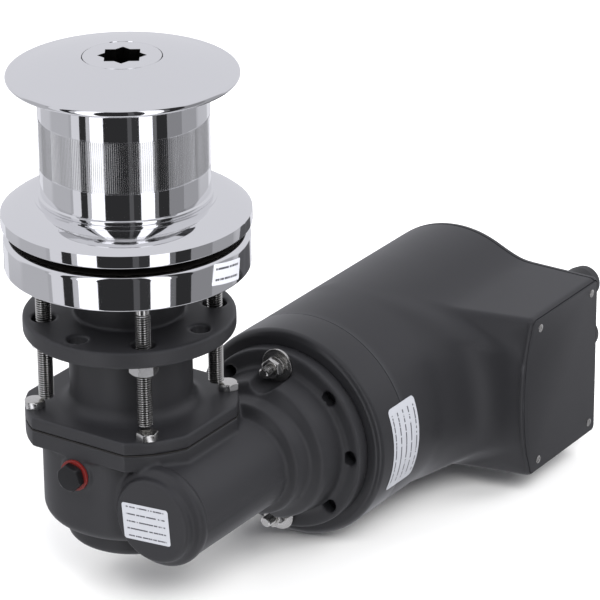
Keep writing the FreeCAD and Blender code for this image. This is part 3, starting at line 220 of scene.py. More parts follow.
def grain_group() -> Tree:
    """Make the group for fine grain with broad cloudiness, as on coats and plastics."""
    tree = new_group("coat_grain", {"Grain Scale": 2600.0, "Cloud Scale": 22.0, "Roughness": 0.5,
                                    "Swing": 0.08}, ("Roughness", "Height", "Cloud"))
    place = place_of(tree, "Object")
    source = tree.nodes["in"].outputs
    fine = add_node(tree, "TexNoise", Detail=2.0, Vector=place, Scale=source["Grain Scale"])
    cloud = add_node(tree, "TexNoise", Detail=4.0, Vector=place, Scale=source["Cloud Scale"])
    centred = math_node(tree, "SUBTRACT", cloud.outputs["Fac"], 0.5)
    swing = math_node(tree, "MULTIPLY", centred, source["Swing"])
    doubled = math_node(tree, "MULTIPLY", swing, 2.0)
    feed(tree, tree.nodes["out"], Height=fine.outputs["Fac"], Cloud=cloud.outputs["Fac"],
         Roughness=math_node(tree, "ADD", doubled, source["Roughness"], True))
    return tree


def brush_group() -> Tree:
    """Make the group for fine turning or polishing lines around a height, in Z."""
    tree = new_group("turning_lines", {"Line Scale": 900.0, "Roughness": 0.2, "Swing": 0.08},
                     ("Roughness", "Height"))
    source = tree.nodes["in"].outputs
    stretch = add_node(tree, "Mapping", Scale=(0.05, 0.05, 1.0), Vector=place_of(tree, "Object"))
    lines = add_node(tree, "TexNoise", Detail=3.0, Vector=stretch.outputs["Vector"],
                 Scale=source["Line Scale"])
    swing = math_node(tree, "MULTIPLY", lines.outputs["Fac"], source["Swing"])
    feed(tree, tree.nodes["out"], Height=lines.outputs["Fac"],
         Roughness=math_node(tree, "ADD", swing, source["Roughness"], True))
    return tree


def painted_edge_highlight_group() -> Tree:
    """Make the group for a mask of convex edges painted lighter as a highlight, from the surface's
    pointiness.
    """
    tree = new_group("painted_edge_highlight", {"Start": 0.53, "Reach": 0.08}, ("Mask",))
    source = tree.nodes["in"].outputs
    point = tree.nodes.new("ShaderNodeNewGeometry").outputs["Pointiness"]
    above = math_node(tree, "SUBTRACT", point, source["Start"])
    feed(tree, tree.nodes["out"], Mask=math_node(tree, "DIVIDE", above, source["Reach"], True))
    return tree


class Groups:
    """The shared shader node groups, each built once."""

    def __init__(self) -> None:
        """Build the groups."""
        self.grain = grain_group()
        self.brush = brush_group()
        self.edge_highlight = painted_edge_highlight_group()


def place_group(tree: Tree, group: Tree, **inputs: object) -> bpy.types.Node:
    """Place a shared group in a material, and set or link its inputs."""
    item = tree.nodes.new("ShaderNodeGroup")
    item.node_tree = group
    feed(tree, item, **inputs)
    return item


def new_material(name: str) -> bpy.types.Material:
    """Make a material with nodes."""
    made = bpy.data.materials.new(name)
    made.use_nodes = True
    return made


@dataclass(frozen=True)
class Finish:
    """One surface finish, as numbers for the shader and its grain.

    Attributes:
        name: The material's name.
        colour: Base colour.
        metal: 1 for bare metal, 0 for coats and plastics.
        roughness: Middle roughness.
        swing: How far the roughness wanders.
        grain: Scale of the fine grain or of the turning lines.
        grain_height: Height of the grain's bump, in millimetres.
        edge: Colour of the painted highlight on convex edges.
        edge_share: How much of the painted edge highlight shows.
        coat: Clear coat weight.
        coat_roughness: The clear coat's roughness.
        turned: Whether the surface has turning lines in place of grain.
    """

    name: str
    colour: Colour
    metal: float = 0.0
    roughness: float = 0.5
    swing: float = 0.06
    grain: float = 2600.0
    grain_height: float = 0.02
    edge: Colour = (0.3, 0.3, 0.32)
    edge_share: float = 0.0
    coat: float = 0.0
    coat_roughness: float = 0.08
    turned: bool = False

    def material(self, groups: Groups) -> bpy.types.Material:
        """Build the material from the shared node groups."""
        made = new_material(self.name)
        made.diffuse_color = (*self.colour, 1.0)
        tree = made.node_tree
        group, scale = (groups.grain, "Grain_Scale")
        if self.turned:
            group, scale = (groups.brush, "Line_Scale")
        marks = place_group(tree, group, Roughness=self.roughness, Swing=self.swing,
                            **{scale: self.grain})
        bump = add_node(tree, "Bump", Distance=self.grain_height * MM,
                        Height=marks.outputs["Height"])
        # Convex edges are mixed toward the edge colour: a painted highlight.
        edge_highlight = place_group(tree, groups.edge_highlight)
        share = math_node(tree, "MULTIPLY", edge_highlight.outputs["Mask"], self.edge_share)
        feed(tree, tree.nodes["Principled BSDF"], Metallic=self.metal, Coat_Weight=self.coat,
             Coat_Roughness=self.coat_roughness, Roughness=marks.outputs["Roughness"],
             Normal=bump.outputs["Normal"],
             Base_Color=mix_colours(tree, share, (*self.colour, 1.0), (*self.edge, 1.0)))
        return made


@dataclass(frozen=True)
class LabelFinish:
    """Pale film with plain ruled lines, which run along the piece's own UV map.

    Attributes:
        name: The material's name.
        rows: How many ruled rows it carries.
        paper: Colour of the film.
        ink: Colour of the rows.
        roughness: The film's roughness.
        bar: Half the height of a row's line, as a share of the row.
        word_scale: Scale of the noise that breaks the lines into dashes.
        stretch: How much the noise runs along the film.
        shift: How far apart the rows' dashes are drawn from.
        dashes: The noise level above which a line is inked.
        side: How far the lines reach from the middle, as a share of the film's length.
        end: How far the rows reach from the middle, as a share of its height.
    """

    name: str
    rows: int
    paper: Colour = (0.60, 0.61, 0.65)
    ink: Colour = (0.07, 0.07, 0.08)
    roughness: float = 0.32
    bar: float = 0.10
    word_scale: float = 3.0
    stretch: float = 9.0
    shift: float = 7.3
    dashes: float = 0.44
    side: float = 0.42
    end: float = 0.44

    def material(self) -> bpy.types.Material:
        """Build the material."""
        made = new_material(self.name)
        tree = made.node_tree
        split = add_node(tree, "SeparateXYZ", Vector=place_of(tree, "UV"))
        along, across = split.outputs["X"], split.outputs["Y"]

        def within(socket: Socket, reach: float) -> Socket:
            """1 where a socket is nearer to 0.5 than a reach, and 0 elsewhere."""
            away = math_node(tree, "ABSOLUTE", math_node(tree, "SUBTRACT", socket, 0.5))
            return math_node(tree, "LESS_THAN", away, reach)

        row = math_node(tree, "MULTIPLY", across, float(self.rows))
        floor = math_node(tree, "FLOOR", row)
        words = add_node(tree, "TexNoise", Scale=self.word_scale, Vector=add_node(
            tree, "CombineXYZ", X=math_node(tree, "MULTIPLY", along, self.stretch),
            Y=math_node(tree, "MULTIPLY", floor, self.shift)).outputs[0])
        mask = math_node(tree, "GREATER_THAN", words.outputs["Fac"], self.dashes)
        for part in (within(math_node(tree, "FRACT", row), self.bar), within(along, self.side),
                     within(across, self.end)):
            mask = math_node(tree, "MULTIPLY", mask, part)
        feed(tree, tree.nodes["Principled BSDF"], Roughness=self.roughness,
             Base_Color=mix_colours(tree, mask, (*self.paper, 1.0), (*self.ink, 1.0)))
        return made


# A finish's edge colour is a painted highlight laid on its convex edges.
CHROME = Finish("polished_chrome", (0.86, 0.86, 0.87), 1.0, 0.03, 0.03, 260.0, 0.0015, turned=True)
CHROME_BAND = Finish("knurled_chrome", (0.82, 0.82, 0.82), 1.0, 0.07, 0.05, 260.0, 0.002,
                     turned=True)
# Painted shade: near-black colour for the faces in the gap between the skirt and the base ring.
GAP_PAINTED_SHADE = Finish("painted_gap_shade", (0.035, 0.032, 0.030), 0.6, 0.5, 0.1, 900.0, 0.01)
SOCKET_STEEL = Finish("dark_socket_steel", (0.10, 0.095, 0.09), 1.0, 0.34, 0.12, 900.0, 0.02)
STAINLESS = Finish("stainless_fastener", (0.62, 0.61, 0.585), 1.0, 0.22, 0.10, 900.0, 0.008,
                   (0.88, 0.88, 0.87), 0.5)
# Painted shade: a dark colour for the studs' thread roots, to deepen the grooves.
THREAD_ROOT_PAINTED_SHADE = Finish("painted_thread_root_shade", (0.10, 0.097, 0.09), 1.0, 0.4, 0.1, 900.0, 0.008)
STEEL = Finish("machined_steel", (0.52, 0.53, 0.55), 1.0, 0.25, 0.12, 700.0, 0.01, turned=True)
COATED_CASTING = Finish("powder_coated_casting", (0.0190, 0.0190, 0.0212), 0.0, 0.46, 0.10, 2200.0,
                        0.045, (0.075, 0.075, 0.085), 0.6)
SHIELD_PAINT = Finish("shield_paint", (0.0150, 0.0150, 0.0168), 0.0, 0.33, 0.05, 2400.0, 0.008,
                      (0.05, 0.05, 0.055), 0.4)
COVER_PLASTIC = Finish("satin_cover_plastic", (0.0150, 0.0150, 0.0170), 0.0, 0.40, 0.06, 3400.0,
                       0.016, (0.05, 0.05, 0.055), 0.4)
BLACK_NYLON = Finish("black_nylon", (0.014, 0.014, 0.015), 0.0, 0.48, 0.06, 2000.0, 0.01)
DARK_PLUG = Finish("blackened_plug", (0.010, 0.010, 0.011), 0.3, 0.42, 0.08, 1800.0, 0.01,
                   (0.08, 0.08, 0.085), 0.5)
RED_RING = Finish("red_seal_ring", (0.15, 0.012, 0.010), 0.0, 0.45, 0.06, 1500.0, 0.01)
BASE_STICKER = LabelFinish("sticker_paper", 2)
# The boss label's film is greyer than the sticker's: partly its own grey tone, partly painted shade
# for the boss's shaded face.
BOSS_LABEL = LabelFinish("boss_label_film", 5, (0.44, 0.45, 0.48))
MOTOR_LABEL = LabelFinish("motor_label_film", 5, (0.40, 0.41, 0.44))
PLAIN_FINISHES = {
    "rubber": Finish("nitrile_rubber", (0.02, 0.02, 0.02), 0.0, 0.6),
    "aluminium": Finish("machined_aluminium", (0.62, 0.63, 0.65), 1.0, 0.3, grain=700.0,
                        turned=True),
    "iron": Finish("painted_yoke", (0.03, 0.03, 0.033), 0.0, 0.4),
    "laminations": Finish("steel_laminations", (0.36, 0.36, 0.38), 1.0, 0.35, grain=900.0,
                          turned=True),
    "bronze": Finish("greased_bronze", (0.20, 0.13, 0.055), 1.0, 0.42, turned=True, grain=700.0),
    "copper": Finish("bare_copper", (0.72, 0.34, 0.18), 1.0, 0.3),
    "magnet": Finish("ferrite", (0.06, 0.06, 0.065), 0.0, 0.55),
    "carbon": Finish("pressed_carbon", (0.03, 0.03, 0.03), 0.0, 0.6),
    "paper": Finish("gasket_sheet", (0.016, 0.015, 0.014), 0.0, 0.8),
    "insulator": Finish("brown_phenolic", (0.12, 0.06, 0.025), 0.0, 0.4),
}


# Modelling with operators

def deselect() -> None:
    """Leave nothing selected and the view in object mode."""
    if bpy.context.object and bpy.context.object.mode != "OBJECT":
        bpy.ops.object.mode_set(mode="OBJECT")
    bpy.ops.object.select_all(action="DESELECT")


def activate(item: Item) -> None:
    """Select one object alone and make it active."""
    deselect()
    item.select_set(True)
    bpy.context.view_layer.objects.active = item


def edit(item: Item, select: str = "SELECT", kind: str = "VERT") -> None:
    """Enter edit mode on an object with all, or nothing, selected.

    Args:
        item: The object.
        select: SELECT or DESELECT.
        kind: VERT, EDGE or FACE.
    """
    activate(item)
    bpy.ops.object.mode_set(mode="EDIT")
    bpy.ops.mesh.select_mode(type=kind)
    bpy.ops.mesh.select_all(action=select)


def leave() -> None:
    """Return to object mode."""
    bpy.ops.object.mode_set(mode="OBJECT")


def added(name: str) -> Item:
    """Name the object that an operator just added."""
    item = bpy.context.object
    item.name = item.data.name = name
    return item


def turn_outward(weld: float = 0.0) -> None:
    """Weld points nearer than a distance, turn every face outward and leave edit mode."""
    bpy.ops.mesh.select_all(action="SELECT")
    if weld:
        bpy.ops.mesh.remove_doubles(threshold=weld)
    bpy.ops.mesh.normals_make_consistent(inside=False)
    leave()


def pick_faces(item: Item, wanted: FaceTest) -> None:
    """Enter edit mode with the faces that pass a test selected."""
    edit(item, "DESELECT", "FACE")
    leave()
    for face in item.data.polygons:
        face.select = wanted(face)
    bpy.ops.object.mode_set(mode="EDIT")


def modify(item: Item, kind: str, **settings: object) -> None:
    """Add a modifier with its settings and apply it."""
    activate(item)
    added = item.modifiers.new(kind.lower(), kind)
    for name, value in settings.items():
        setattr(added, name, value)
    bpy.ops.object.modifier_apply(modifier=added.name)


def soften(item: Item, width: float, segments: int = 2, angle: float = 35.0) -> None:
    """Round the sharp edges of an object by a width in millimetres."""
    modify(item, "BEVEL", width=width * MM, segments=segments, limit_method="ANGLE",
           angle_limit=math.radians(angle), use_clamp_overlap=True)


def combine(item: Item, tool: Item, operation: str) -> None:
    """Join, cut or intersect an object with a tool, and remove the tool."""
    modify(item, "BOOLEAN", object=tool, operation=operation, solver="EXACT")
    bpy.data.objects.remove(tool)


def join(items: Sequence[Item], name: str) -> Item:
    """Join objects into one mesh object with a name."""
    activate(items[0])
    for item in items[1:]:
        item.select_set(True)
    bpy.ops.object.join()
    return added(name)


def shade(item: Item, angle: float = 32.0) -> None:
    """Shade an object smooth, with edges over an angle kept sharp."""
    activate(item)
    bpy.ops.object.shade_smooth_by_angle(angle=math.radians(angle))


def stand(axis: Axis, x: float = 0.0, y: float = 0.0, z: float = 0.0, turn: float = 0.0) -> Matrix:
    """Work out the place of a piece that was made along Z at the origin.

    Args:
        axis: DRUM keeps it upright, MOTOR lays it along +X.
        x: Place in X, in millimetres.
        y: Place in Y.
        z: Place in Z.
        turn: Turn about its own axis, in degrees.

    Returns:
        The matrix.
    """
    lay = Matrix.Rotation(QUARTER_TURN, 4, "Y") if axis is Axis.MOTOR else Matrix.Identity(4)
    spin = Matrix.Rotation(math.radians(turn), 4, "Z")
    return Matrix.Translation(Vector((x, y, z)) * MM) @ lay @ spin


def settle(item: Item, matrix: Matrix) -> Item:
    """Move an object's mesh to its place, and leave the object at the origin."""
    item.data.transform(matrix @ item.matrix_world)
    item.matrix_world = Matrix.Identity(4)
    return item


def copy_of(item: Item, matrix: Matrix) -> Item:
    """Copy an object with its own mesh, and place the copy."""
    activate(item)
    bpy.ops.object.duplicate()
    return settle(bpy.context.object, matrix)


def repeat(pattern: Item, places: Iterable[Matrix], name: str) -> Item:
    """Copy a pattern to its places, remove it and join the copies."""
    made = [copy_of(pattern, place) for place in places]
    bpy.data.objects.remove(pattern)
    return join(made, name)


def quarters(circle: float, height: float) -> list[Matrix]:
    """Work out four places round the drum's axis, on a circle at a height."""
    turns = [(angle, math.radians(angle)) for angle in PLACES.quarter_angles]
    return [stand(Axis.DRUM, circle * math.cos(turn), circle * math.sin(turn), height, angle)
            for angle, turn in turns]


def arc_points(start: Vector, end: Vector, radius: float, step: float) -> list[Vector]:
    """Work out the points of an arc after its start.

    Args:
        start: The first point.
        end: The last point.
        radius: The radius; a positive one bends to the left.
        step: The largest turn between points, in degrees.

    Returns:
        The points, the last one being the end.
    """
    half = (end - start) / 2
    size = max(abs(radius), half.length)
    side = math.copysign(1.0, radius)
    left = Vector((-half.y, half.x)).normalized() * side
    centre = start + half + left * math.sqrt(max(size * size - half.length_squared, 0.0))
    first = start - centre
    sweep = 2 * math.asin(min(1.0, half.length / size)) * side
    count = max(4, math.ceil(abs(math.degrees(sweep)) / step))
    return [centre + Matrix.Rotation(sweep * index / count, 2) @ first
            for index in range(1, count + 1)]


def trace(outline: Sequence[tuple[float, ...] | Arc], step: float = 11.0) -> list[Vector]:
    """Turn an outline with rounded corners and arcs into plain points.

    Args:
        outline: Points (across, along), or (across, along, rounding), or arcs.
        step: The largest turn between the points of a round stretch, in degrees.

    Returns:
        The closed outline's points.
    """
    def spot(item: tuple[float, ...] | Arc) -> Vector:
        """The point that an outline's item ends at."""
        return Vector((item.across, item.along)) if isinstance(item, Arc) else Vector(item[:2])

    points: list[Vector] = []
    for index, item in enumerate(outline):
        here = spot(item)
        if isinstance(item, Arc):
            points += arc_points(spot(outline[index - 1]), here, item.radius, step)
        elif len(item) == 2:
            points.append(here)
        else:
            came = (here - spot(outline[index - 1])).normalized()
            goes = (spot(outline[(index + 1) % len(outline)]) - here).normalized()
            reach = item[2] * math.tan(came.angle(goes) / 2)
            side = 1.0 if came.x * goes.y - came.y * goes.x > 0 else -1.0
            start, end = here - came * reach, here + goes * reach
            points.append(start)
            points += arc_points(start, end, item[2] * side, step)
    return points


def draw(name: str, start: Vector, moves: Iterable[Vector]) -> Item:
    """Draw a chain of edges, and stay in edit mode.

    Args:
        name: The object's name.
        start: The first point, in metres.
        moves: The way from each point to the next, in metres.

    Returns:
        The object, with its last point selected.
    """
    deselect()
    bpy.ops.mesh.primitive_plane_add(size=MM)
    item = added(name)
    edit(item)
    bpy.ops.mesh.merge(type="CENTER")
    leave()
    item.data.vertices[0].co = start
    edit(item)
    for move in moves:
        bpy.ops.mesh.extrude_vertices_move(TRANSFORM_OT_translate={"value": tuple(move)})
    return item


def steps_between(points: Sequence[Vector]) -> list[Vector]:
    """Give the way from each of an outline's points to the next, in metres."""
    return [(here - before) * MM for before, here in zip(points, points[1:])]


def lathe(name: str, outline: Sequence[tuple[float, ...] | Arc], steps: int = 96,
          step: float = 11.0) -> Item:
    """Turn a closed outline of (radius, height) about Z.

    Args:
        name: The object's name.
        outline: The outline, in millimetres.
        steps: How many steps go round.
        step: The largest turn between the points of a round stretch, in degrees.

    Returns:
        The turned object.
    """
    points = trace(outline, step)
    item = draw(name, Vector((points[0].x * MM, 0.0, points[0].y * MM)),
                [Vector((move.x, 0.0, move.y)) for move in steps_between(points)])
    bpy.ops.mesh.select_all(action="SELECT")
    leave()
    item.data.edges.add(1)
    item.data.edges[-1].vertices = (0, len(item.data.vertices) - 1)
    item.data.update()
    edit(item)
    bpy.ops.mesh.spin(steps=steps, angle=math.tau, center=(0, 0, 0), axis=(0, 0, 1))
    turn_outward(WELD)
    return item


def prism(name: str, sides: int, corner_radius: float, low: float, high: float,
          turn: float = 0.0) -> Item:
    """Make a bar with equal sides along Z, between two heights in millimetres."""
    deselect()
    bpy.ops.mesh.primitive_cylinder_add(vertices=sides, radius=corner_radius * MM,
                                        depth=(high - low) * MM,
                                        location=(0, 0, (low + high) / 2 * MM),
                                        rotation=(0, 0, math.radians(turn)))
    return settle(added(name), Matrix.Identity(4))


def hexagon(name: str, flats: float, height: float, bore: float = 0.0,
            chamfer_low: bool = True) -> Item:
    """Make a hexagon head or nut from 0 to its height, with turned chamfers.

    Args:
        name: The object's name.
        flats: Size across flats.
        height: Height.
        bore: Radius of a hole through it; 0 for none.
        chamfer_low: Whether its lower end is chamfered as its upper end is.

    Returns:
        The object, along Z.
    """
    corner, face = flats / math.sqrt(3), flats / 2 * HEXAGON.face_share
    item = prism(name, 6, corner, 0.0, height)
    drop = (corner - face) * math.tan(HEXAGON.slope)
    wide, rise = corner + HEXAGON.beyond, drop + HEXAGON.land
    low = [(0.0, 0.0), (face, 0.0), (wide, rise)] if chamfer_low else [(0.0, -0.5), (wide, -0.5)]
    high = [(wide, height - rise), (face, height), (0.0, height)]
    combine(item, lathe(name + "_cone", low + high, 48), "INTERSECT")
    if bore:
        sink = HEXAGON.sink
        combine(item, lathe(name + "_bore", [
            (0.0, -1.0), (bore + sink + 1.0, -1.0), (bore, sink), (bore, height - sink),
            (bore + sink + 1.0, height + 1.0), (0.0, height + 1.0)], 32), "DIFFERENCE")
    soften(item, 0.12, 1, 25.0)
    return item


def threaded(name: str, radius: float, pitch: float, low: float, high: float,
             chamfer: float = 0.8, steps: int = 28) -> Item:
    """Make a threaded rod along Z with flat, chamfered ends.

    Args:
        name: The object's name.
        radius: Radius over the thread's crests.
        pitch: The thread's pitch.
        low: Lower end.
        high: Upper end.
        chamfer: Length of the chamfers.
        steps: Steps in each turn of the thread.

    Returns:
        The object.
    """
    root = radius - THREAD_DEPTH * pitch
    turns = math.ceil((high - low) / pitch) + 2
    half = (radius - root) / 2
    item = draw(name, Vector((root * MM, 0.0, (low - pitch) * MM)),
                [Vector((side * half * MM, 0.0, along * pitch * MM))
                 for side, along in THREAD_FLANKS])
    leave()
    modify(item, "SCREW", axis="Z", angle=math.tau, screw_offset=pitch * MM, iterations=turns,
           steps=steps, render_steps=steps, use_merge_vertices=True, merge_threshold=WELD)
    edit(item)
    bpy.ops.mesh.remove_doubles(threshold=WELD)
    for height, outward in ((low, -1.0), (high, 1.0)):
        bpy.ops.mesh.select_all(action="SELECT")
        bpy.ops.mesh.bisect(plane_co=(0, 0, height * MM), plane_no=(0, 0, outward), use_fill=True,
                            clear_outer=True)
    turn_outward()
    for point in item.data.vertices:
        reach = min(point.co.z / MM - low, high - point.co.z / MM)
        limit = (radius - max(0.0, chamfer - reach)) * MM
        across = math.hypot(point.co.x, point.co.y)
        if across > limit:
            point.co.x *= limit / across
            point.co.y *= limit / across
    return item


def washer(name: str, outer: float, inner: float, thick: float) -> Item:
    """Make a pressed washer from 0 to its thickness, with soft edges."""
    return lathe(name, [(inner, 0.0), (outer, 0.0, 0.25), (outer, thick, 0.25), (inner, thick)], 64)


def plate(name: str, outline: Sequence[tuple[float, ...] | Arc], low: float,
          high: float) -> Item:
    """Make a flat plate from an outline in X and Y, between two heights.

    Args:
        name: The object's name.
        outline: The outline, in millimetres.
        low: Lower face.
        high: Upper face.

    Returns:
        The plate.
    """
    points = trace(outline, PLATE_STEP)
    item = draw(name, Vector((points[0].x * MM, points[0].y * MM, low * MM)),
                [move.to_3d() for move in steps_between(points)])
    bpy.ops.mesh.select_all(action="SELECT")
    bpy.ops.mesh.edge_face_add()
    rise = (0.0, 0.0, (high - low) * MM)
    bpy.ops.mesh.extrude_region_move(TRANSFORM_OT_translate={"value": rise})
    turn_outward()
    return item


def film(name: str, width: float, height: float, corner: float, columns: int,
         rows: int) -> Item:
    """Make a thin sheet with rounded corners, divided so that it can bend.

    Args:
        name: The object's name.
        width: Size along X.
        height: Size along Y.
        corner: Radius of its corners.
        columns: Strips across its width.
        rows: Strips across its height.

    Returns:
        The flat sheet, with a UV map that runs from corner to corner.
    """
    deselect()
    bpy.ops.mesh.primitive_plane_add(size=MM)
    item = added(name)
    item.data.transform(Matrix.Diagonal((width, height, 1.0, 1.0)))
    edit(item)
    bpy.ops.mesh.bevel(offset=corner * MM, segments=5, affect="VERTICES")
    for count, size, axis in ((columns, width, 0), (rows, height, 1)):
        for index in range(1, count):
            place, normal = [0.0, 0.0, 0.0], [0.0, 0.0, 0.0]
            place[axis] = size * (index / count - 0.5) * MM
            normal[axis] = 1.0
            bpy.ops.mesh.select_all(action="SELECT")
            bpy.ops.mesh.bisect(plane_co=place, plane_no=normal)
    leave()
    layer = item.data.uv_layers.active or item.data.uv_layers.new(name="film")
    for loop in item.data.loops:
        point = item.data.vertices[loop.vertex_index].co / MM
        layer.data[loop.index].uv = (point.x / width + 0.5, point.y / height + 0.5)
    return item


def wrap(item: Item, place: Callable[[float, float], Vector]) -> Item:
    """Lay a sheet on the surface that a function gives in millimetres, and thicken it."""
    for point in item.data.vertices:
        point.co = place(point.co.x / MM, point.co.y / MM) * MM
    modify(item, "SOLIDIFY", thickness=FILM_THICK * MM, offset=-1.0)
    return item


class Workshop:
    """Dresses finished pieces: material, body and the nodes they stand for."""

    def __init__(self) -> None:
        """Start with the shared groups and no materials."""
        self.groups = Groups()
        self.made: dict[str, bpy.types.Material] = {}

    def material(self, finish: Finish | LabelFinish) -> bpy.types.Material:
        """Give the material of a finish, which is built once."""
        if finish.name not in self.made:
            self.made[finish.name] = finish.material() if isinstance(finish, LabelFinish) \
                else finish.material(self.groups)
        return self.made[finish.name]

    def dress(self, item: Item, finish: Finish | LabelFinish) -> None:
        """Give an object one material all over."""
        item.data.materials.clear()
        item.data.materials.append(self.material(finish))

    def keep(self, item: Item, finish: Finish | LabelFinish, body: Body, slot: Slot,
             *nodes: str, angle: float = 32.0) -> Item:
        """Finish a piece and say what it is.

        Args:
            item: The object.
            finish: Its finish.
            body: The body that it rides on.
            slot: The record's slot that it takes its finish from; not used.
            nodes: The CAD nodes that it stands for.
            angle: The angle above which an edge stays sharp.

        Returns:
            The object.
        """
        shade(item, angle)
        self.dress(item, finish)
        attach(item, body.value)
        if nodes:
            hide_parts(*nodes)
        LOG.info("%s: %d faces on %s", item.name, len(item.data.polygons), body.value)
        return item

    def accent(self, item: Item, finish: Finish,
               wanted: FaceTest) -> None:
        """Give the faces that pass a test a finish of their own."""
        item.data.materials.append(self.material(finish))
        pick_faces(item, wanted)
        item.active_material_index = len(item.data.materials) - 1
        bpy.ops.object.material_slot_assign()
        leave()


def spread(place: Vector) -> float:
    """How far a point stands from the drum's axis, in millimetres."""
    return math.hypot(place.x, place.y) / MM


@dataclass
class ChromeDrum:
    """The drum, its skirt and the star nut in the dome."""

    top: float = 111.3
    dome_radius: float = 190.0
    rim_radius: float = 58.4
    rim_round: float = 2.0
    rim_height: float = 101.6
    throat_top: float = 97.0
    barrel: float = 43.0
    ridge_top: float = 80.8
    ridge_low: float = 54.6
    ridge_count: int = 264
    ridge_depth: float = 0.28
    lip_top: float = 40.3
    lip_low: float = 37.8
    spigot: float = 40.0
    foot: float = 24.5
    seam: float = 0.45
    hub: float = 36.0
    hub_top: float = 52.0
    nut_seat: float = 95.0
    clearance: float = 0.3
    nut_radius: float = 19.85
    nut_low: float = 97.0
    stem_radius: float = 15.0
    stem_low: float = 75.0
    socket_flats: float = 17.46
    socket_depth: float = 18.0
    socket_turn: float = -11.0
    skirt_radius: float = 63.4
    skirt_low: float = 23.2
    skirt_band: float = 30.0
    skirt_crown: float = 37.2
    skirt_dome: float = 26.0
    skirt_wall: float = 3.5
    skirt_roof: float = 3.0
    skirt_step: float = 1.3
    skirt_hub: float = 8.0
    gap_height: float = 4.0
    gap_rim: float = 1.2
    dark_reach: float = 0.72

    def body(self, shop: Workshop) -> None:
        """Build the drum with its grooves, and the knurled band between them."""
        hole, stem = self.nut_radius + self.clearance, self.stem_radius + self.clearance
        recess = self.barrel - self.ridge_depth - 0.15
        low, high = self.ridge_low - self.seam, self.ridge_top + self.seam
        shell = lathe("drum_shell", [
            (self.hub, self.foot), (self.spigot, self.foot), (self.spigot, self.lip_low),
            (self.barrel + 1.0, self.lip_low, 0.3), (self.barrel + 1.0, self.lip_top - 0.6, 0.5),
            (self.barrel, self.lip_top), (self.barrel, low, 0.15), (recess, low), (recess, high),
            (self.barrel, high, 0.15), (self.barrel, self.throat_top, 3.0),
            (self.rim_radius - self.rim_round, self.rim_height - self.rim_round),
            Arc(self.rim_radius, self.rim_height, self.rim_round),
            Arc(self.rim_radius - self.rim_round, self.rim_height + self.rim_round, self.rim_round),
            Arc(hole + 0.3, self.top - 0.02, self.dome_radius), (hole, self.top - 0.35),
            (hole, self.nut_seat), (stem, self.nut_seat), (stem, self.hub_top),
            (self.hub, self.hub_top)], TURNED_STEPS, TURNED_STEP)
        shop.keep(shell, CHROME, Body.DRUM, Slot.CHROME, "drum")
        band = lathe("drum_knurl", [
            (recess - 0.3, self.ridge_low), (self.barrel, self.ridge_low),
            (self.barrel, self.ridge_top), (recess - 0.3, self.ridge_top)], self.ridge_count * 4)
        pitch = math.tau / self.ridge_count
        corners = (-0.31, 0.31, 0.42, 0.58)
        for point in band.data.vertices:
            radius = math.hypot(point.co.x, point.co.y)
            column = round(math.atan2(point.co.y, point.co.x) / pitch * 4)
            angle = (column // 4 + corners[column % 4]) * pitch
            if radius > (self.barrel - 0.1) * MM and column % 4 > 1:
                radius -= self.ridge_depth * MM
            point.co.x, point.co.y = radius * math.cos(angle), radius * math.sin(angle)
        shop.keep(band, CHROME_BAND, Body.DRUM, Slot.CHROME, angle=20.0)

    def skirt(self, shop: Workshop) -> None:
        """Build the polished ring under the drum."""
        bore, hub = self.spigot + 0.02, self.spigot + self.skirt_hub
        wall, roof = self.skirt_radius - self.skirt_wall, self.skirt_low + self.skirt_roof
        step = self.skirt_low + self.skirt_step
        ring = lathe("skirt_ring", [
            (bore, step), (hub, step), (hub, roof), (wall, roof), (wall, self.skirt_low),
            (self.skirt_radius, self.skirt_low, 0.8), (self.skirt_radius, self.skirt_band),
            Arc(self.barrel + 3.0, self.skirt_crown, self.skirt_dome),
            (self.barrel + 3.0, self.lip_low), (bore, self.lip_low)], TURNED_STEPS, TURNED_STEP)
        shop.keep(ring, CHROME, Body.DRUM, Slot.CHROME, "drum_skirt")
        # Painted shade: the skirt's underside, facing the gap, is coloured near black.
        high, wide = self.skirt_low + self.gap_height, self.skirt_radius - self.gap_rim
        shop.accent(ring, GAP_PAINTED_SHADE, lambda face: face.center.z < high * MM
                    and spread(face.center) < wide)

    def nut(self, shop: Workshop) -> None:
        """Build the star nut, with its eight-point socket sunk into a turned disc."""
        floor = self.top - self.socket_depth
        disc = lathe("star_nut_disc", [
            (0.0, self.stem_low), (self.stem_radius, self.stem_low, 0.6),
            (self.stem_radius, self.nut_low), (self.nut_radius, self.nut_low),
            (self.nut_radius, self.top, 0.5), (0.0, self.top)], 128)
        for index in range(2):
            square = prism(f"socket_{index}", 4, self.socket_flats / math.sqrt(2), floor,
                           self.top + 1.0, self.socket_turn + 45.0 * index)
            combine(disc, square, "DIFFERENCE")
        soften(disc, 0.22, 1, 40.0)
        shop.keep(disc, CHROME, Body.NUT, Slot.CHROME, "star_nut", angle=12.0)
        # The socket's walls and floor are coloured dark steel.
        wide = self.socket_flats * self.dark_reach
        shop.accent(disc, SOCKET_STEEL, lambda face: spread(face.center) < wide
                    and floor - 0.5 < face.center.z / MM < self.top - 0.35)

    def build(self, shop: Workshop) -> None:
        """Build every chromed piece that turns."""
        self.body(shop)
        self.skirt(shop)
        self.nut(shop)


